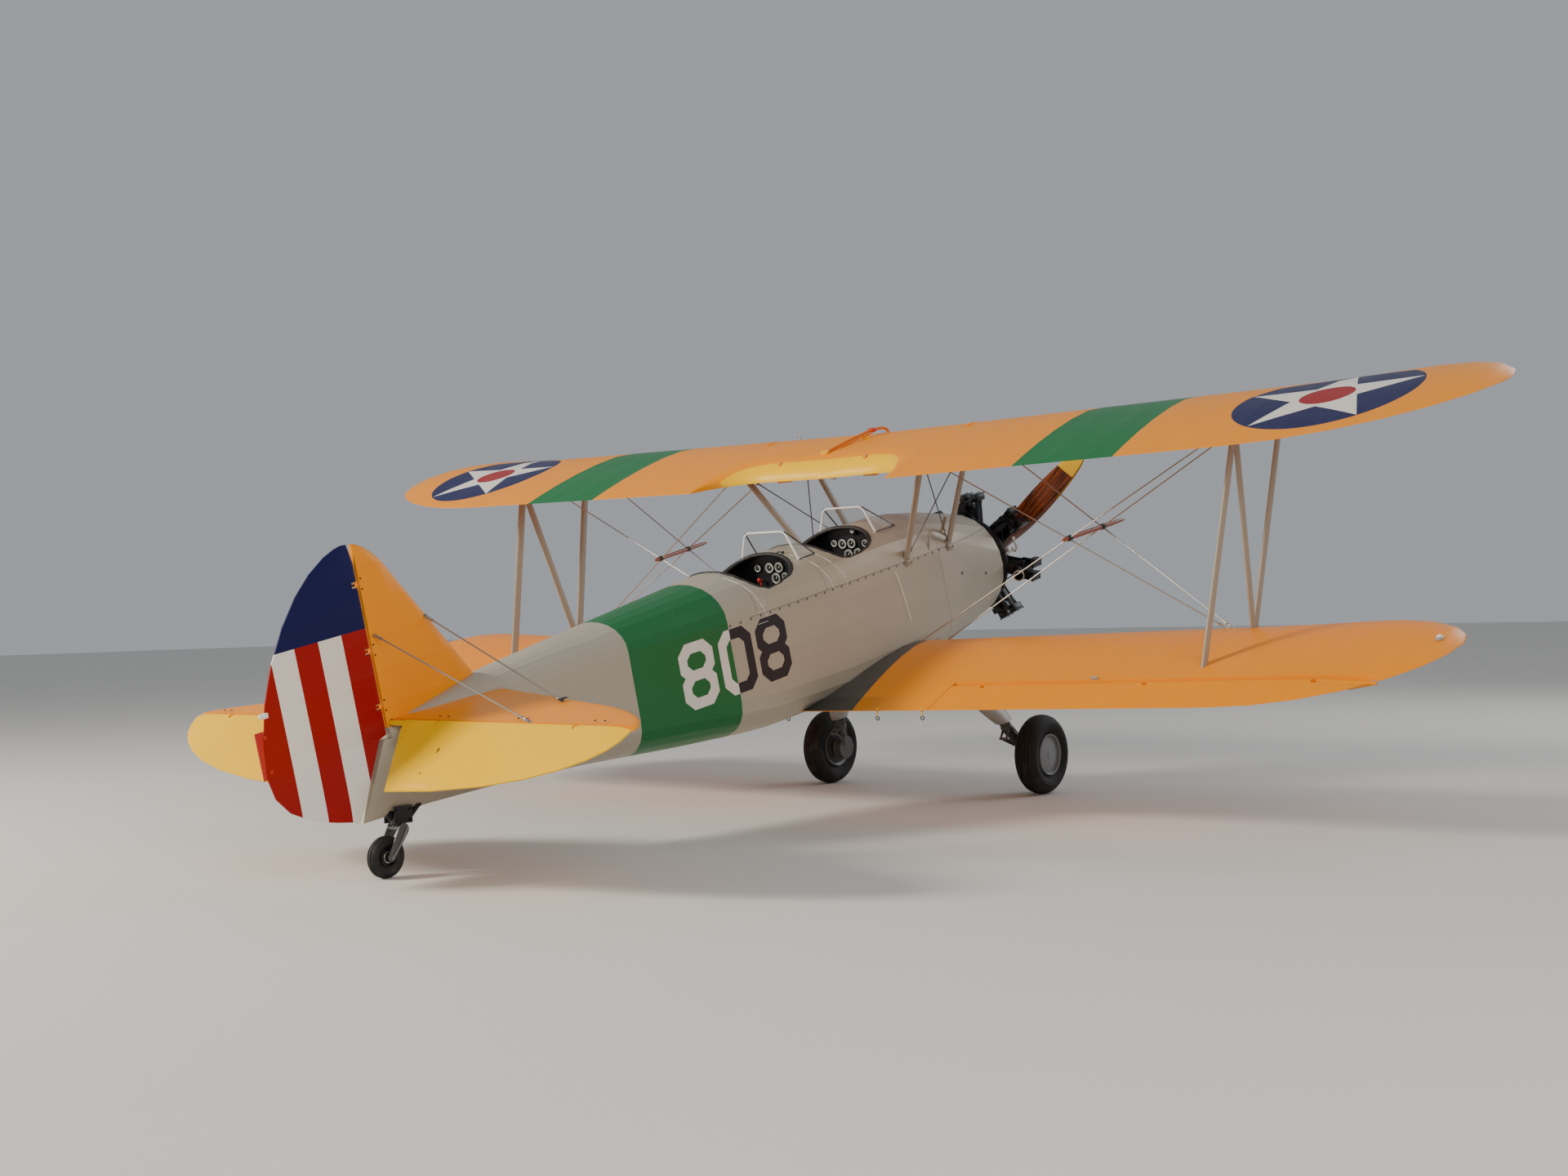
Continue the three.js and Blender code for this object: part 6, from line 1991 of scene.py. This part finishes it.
# %% [markdown]
# A windshield is three panes in a bent white hoop, with channels down to the deck that are painted
# black: painted shade, since these frames lie in shadow. The hoop is made for port and mirrored,
# and its feet are found on the deck by rays.

# %% Windshield hoops and channels
HOOP_AHEAD = 0.042
HOOP_TOP = {"y": 0.18, "z": 0.483}
HOOP_CORNER = 0.03
FOOT_Y = 0.262

for name, cockpit in COCKPITS.items():
    hoop_x = cockpit["from"] + HOOP_AHEAD
    foot_x = hoop_x + cockpit["screen"]
    tops = [Vector((hoop_x - 0.008, side * HOOP_TOP["y"], HOOP_TOP["z"])) for side in BOTH]
    side_feet = [on_deck(hoop_x + 0.006, side * FOOT_Y)[0] for side in BOTH]
    front_feet = [on_deck(foot_x, side * FOOT_Y)[0] for side in BOTH]

    foot, top = side_feet[0], tops[0]
    hoop = [foot, foot.lerp(top, 0.5), top - (top - foot).normalized() * HOOP_CORNER]
    hoop.append(top + Vector((0, -HOOP_CORNER * 0.3, -HOOP_CORNER * 0.25)))
    hoop.append(top + Vector((0, -HOOP_CORNER, 0)))
    hoop += [Vector((point.x, -point.y, point.z)) for point in reversed(hoop)]
    bm = bmesh.new()
    tube(bm, hoop, 0.0075, 10)
    hoop_name = f"windshield_hoop_{name}"
    piece(hoop_name, bm, PAINTS["white_paint"], replaces=[f"windshield_frame_{name}"])

    bm = bmesh.new()
    for top, side_foot, front_foot in zip(tops, side_feet, front_feet):
        tube(bm, [side_foot, front_foot], 0.005, 8)
        tube(bm, [top, front_foot], 0.005, 8)
        for t in (0.2, 0.5, 0.8):
            screw = side_foot.lerp(front_foot, t) + Vector((0, 0, 0.004))
            fasten(bm, DOME_SCREW, screw, (0, 0, 1), 0.005)
    middle = (front_feet[0] + front_feet[1]) / 2 + Vector((0, 0, 0.001))
    tube(bm, [front_feet[0], middle, front_feet[1]], 0.005, 8)
    # The channels are painted black as painted shade on the frames by the deck.
    piece(f"windshield_shaded_channels_{name}", bm, PAINTS["black_paint"])

# %% [markdown]
# Each seat is a metal pan with a canvas cushion on it and another behind. A cushion starts as a
# slightly small block, is remeshed finely, and Blender's cloth blows it up against its own skin, so
# it crowns in the middle and pulls in between the corners, which no bevel gives.

# %% Inflate a cushion
VOXEL = 0.008
FRAMES = 20
CUSHION_SWELL = 0.014


def apply_modifiers(made):
    graph = bpy.context.evaluated_depsgraph_get()
    finished = bpy.data.meshes.new_from_object(made.evaluated_get(graph))
    made.modifiers.clear()
    old, made.data = made.data, finished
    bpy.data.meshes.remove(old)


def inflate(made, cap):
    """Blows the piece up as cloth, and keeps every point within the cap of where it began."""
    remesh = made.modifiers.new("remesh", "REMESH")
    remesh.mode = "VOXEL"
    remesh.voxel_size = VOXEL
    apply_modifiers(made)
    before = [vert.co.copy() for vert in made.data.vertices]
    cloth = made.modifiers.new("cloth", "CLOTH")
    cloth.settings.quality = 4
    cloth.settings.use_pressure = True
    cloth.settings.uniform_pressure_force = 4
    cloth.settings.effector_weights.gravity = 0
    for step in range(1, FRAMES + 1):
        bpy.context.scene.frame_set(step)
    apply_modifiers(made)
    bpy.context.scene.frame_set(1)
    for vert, start in zip(made.data.vertices, before):
        move = vert.co - start
        if move.length > cap:
            vert.co = start + move.normalized() * cap
    print("inflated", made.name, "with", len(before), "points")


def cushion(name, place, size):
    bm = bmesh.new()
    slab(bm, place, size, 0.018)
    bmesh.ops.subdivide_edges(bm, edges=bm.edges, cuts=3, use_grid_fill=True)
    made = piece(name, bm, CANVAS, limit=80)
    inflate(made, CUSHION_SWELL)
    made.data.shade_smooth()


# %% [markdown]
# The cushions lie in the pans, and a lap belt of two webs a side crosses each seat, held by a
# buckle in the middle. The webs lie still on the cushion, so flat strips are enough for them.

# %% Seat cushions and belts
BACK_LEAN = spun(radians(84), "Y")
BELT_LEAN = spun(radians(10), "Y")
BELT_Y = 0.117

for name, cockpit in COCKPITS.items():
    x = cockpit["seat"]
    pan = moved((x + 0.2, 0, -0.205))
    back = moved((x + 0.045, 0, -0.02)) @ BACK_LEAN
    cushion(f"seat_cushion_{name}", pan, (0.32, 0.33, 0.05))
    cushion(f"back_cushion_{name}", back, (0.24, 0.32, 0.036))
    bm = bmesh.new()
    for y in (-BELT_Y, BELT_Y):
        for shift, lift in ((0.16, -0.17), (0.19, -0.15)):
            slab(bm, moved((x + shift, y, lift)) @ BELT_LEAN, (0.045, 0.13, 0.004), 0.001)
    slab(bm, (x + 0.175, 0, -0.15), (0.05, 0.06, 0.012), 0.003)
    piece(f"lap_belt_{name}", bm, CANVAS)

# %% [markdown]
# An aileron's round nose is one straight bar, but the wing thins towards its tip, so the bar's end
# would stand out of it. A copy is cut across a few times near that end, and the bar is drawn in
# more and more towards its front line. The solid itself keeps its plain bar.

# %% Taper the ailerons
BAR = {"radius": 0.046, "from": 4.0, "to": 4.3, "left": 0.2}
BAR_CUTS = 4


def tapered_aileron(name, side):
    """A copy of an aileron whose round nose thins out where the wing tip does."""
    node = f"aileron_{name}"
    bm = welded_copy(node)
    wing = FLIGHT @ wing_frame(LOWER, side)
    bm.transform(wing.inverted())
    port_wing = FLIGHT @ wing_frame(LOWER, 1)
    hinge = port_wing.inverted() @ Vector(joints["aileron_port_hinge"]["pos_m"])
    front = Vector((hinge.x + BAR["radius"], 0, hinge.z))
    reach = BAR["to"] - BAR["from"]
    for k in range(BAR_CUTS):
        everything = [*bm.verts, *bm.edges, *bm.faces]
        cut = Vector((0, side * (BAR["from"] + reach * k / BAR_CUTS), 0))
        bmesh.ops.bisect_plane(bm, geom=everything, dist=1e-6, plane_co=cut, plane_no=(0, 1, 0))
    for vert in bm.verts:
        past = (abs(vert.co.y) - BAR["from"]) / reach
        in_bar = Vector((vert.co.x - hinge.x, vert.co.z - hinge.z)).length < BAR["radius"] * 1.02
        if past > 0 and in_bar:
            left = 1 - (1 - BAR["left"]) * past
            vert.co.x = front.x + (vert.co.x - front.x) * left
            vert.co.z = front.z + (vert.co.z - front.z) * left
    bm.transform(wing)
    finish = WING_FINISHES["lower", side]
    finish_piece(f"{node}_skin", bm, finish, node, [node], 40, in_flight=False)


for name, side in SIDES.items():
    tapered_aileron(name, side)

# %% [markdown]
# The big surfaces are right as solids, so they are dressed and not rebuilt. Wings shade smoothly
# round the nose and stay crisp at the trailing edge. The fuselage keeps its stringer edges, so its
# limit is only a few degrees.

# %% Dress the big surfaces
STRUTS = ("strut_front", "strut_rear", "strut_diagonal", "cabane_front", "cabane_rear")
BODY_LIMITS = {"nose_cowl": 9, "cockpits": 3, "deck": 9, "rear": 3}

for name, side in SIDES.items():
    for wing in ("upper", "lower"):
        dress(f"wing_{wing}_{name}", WING_FINISHES[wing, side], 50)
    for part in STRUTS:
        dress(f"{part}_{name}", PAINTS["strut_paint"], 50)
    dress(f"stabilizer_{name}", STABILIZER, 40)
    dress(f"gear_leg_{name}", PAINTS["gear_paint"], 50)
    dress(f"gear_axle_{name}", PAINTS["fitting_paint"], 40)
dress("wing_upper_centre", WING_FINISHES["upper", 1], 50)
for node, finish in (("fin", FIN), ("rudder", RUDDER), ("elevators", SUNLIT_ELEVATOR)):
    dress(node, finish, 40)
for part, limit in BODY_LIMITS.items():
    dress(f"fuselage_{part}", SILVER, limit)
for name in COCKPITS:
    dress(f"windshield_glass_{name}", GLASS, 20)
    dress(f"instrument_panel_{name}", PAINTS["black_paint"], 40)
    dress(f"seat_{name}", PAINTS["seat_paint"], 30)
for node in ("controls", "tail_wheel_bracket"):
    dress(node, PAINTS["black_paint"], 40)

# %% [markdown]
# The aircraft stands on a plain pale floor, which is stage and no part of the model.

# %% Floor
FLOOR_REACH = 90


def floor_finish():
    finish = Finish("studio_floor")
    tone = finish.noise(finish.rest, 0.4, 3) * 0.06 + 0.96
    finish.feed("Base Color", finish.tint(linear("#d8d5cf"), tone))
    finish.feed("Roughness", finish.noise(finish.rest, 2, 3) * 0.1 + 0.7)
    return finish


bm = bmesh.new()
bmesh.ops.create_grid(bm, x_segments=1, y_segments=1, size=FLOOR_REACH)
floor_mesh = bpy.data.meshes.new("floor")
bm.to_mesh(floor_mesh)
bm.free()
floor = bpy.data.objects.new("floor", floor_mesh)
floor_mesh.materials.append(floor_finish().material)
bpy.context.scene.collection.objects.link(floor)
print("floor", 2 * FLOOR_REACH, "metres across")

# %% [markdown]
# A warm key lamp shines from behind and to port, as the low sun did. A weak fill comes from the
# camera's side and another from ahead, and the sky is an even grey. A sun lamp would be simpler,
# but an area lamp gives the soft edge that the shadows need.

# %% Light
# name, place, aim, size, watts and colour
LAMPS = [
    ("key", (-13, 9, 9), (0, 0, 1.2), 3.5, 3300, (1, 0.94, 0.84)),
    ("fill", (-9, -13, 6), (0, 0, 1.2), 8, 900, (1, 0.96, 0.9)),
    ("front", (14, -6, 9), (1, 0, 1.5), 8, 600, (0.95, 0.97, 1)),
]
SKY = (0.86, 0.9, 0.96, 1)
SKY_STRENGTH = 0.42

for name, place, aim, size, watts, colour in LAMPS:
    data = bpy.data.lights.new(name, "AREA")
    data.size = size
    data.energy = watts
    data.color = colour
    lamp = bpy.data.objects.new(name, data)
    lamp.matrix_world = facing(Vector(place) - Vector(aim), place)
    bpy.context.scene.collection.objects.link(lamp)
world = bpy.data.worlds.new("studio")
world.use_nodes = True
sky = world.node_tree.nodes["Background"]
sky.inputs["Color"].default_value = SKY
sky.inputs["Strength"].default_value = SKY_STRENGTH
bpy.context.scene.world = world
print("lamps", [lamp[0] for lamp in LAMPS])

# %% [markdown]
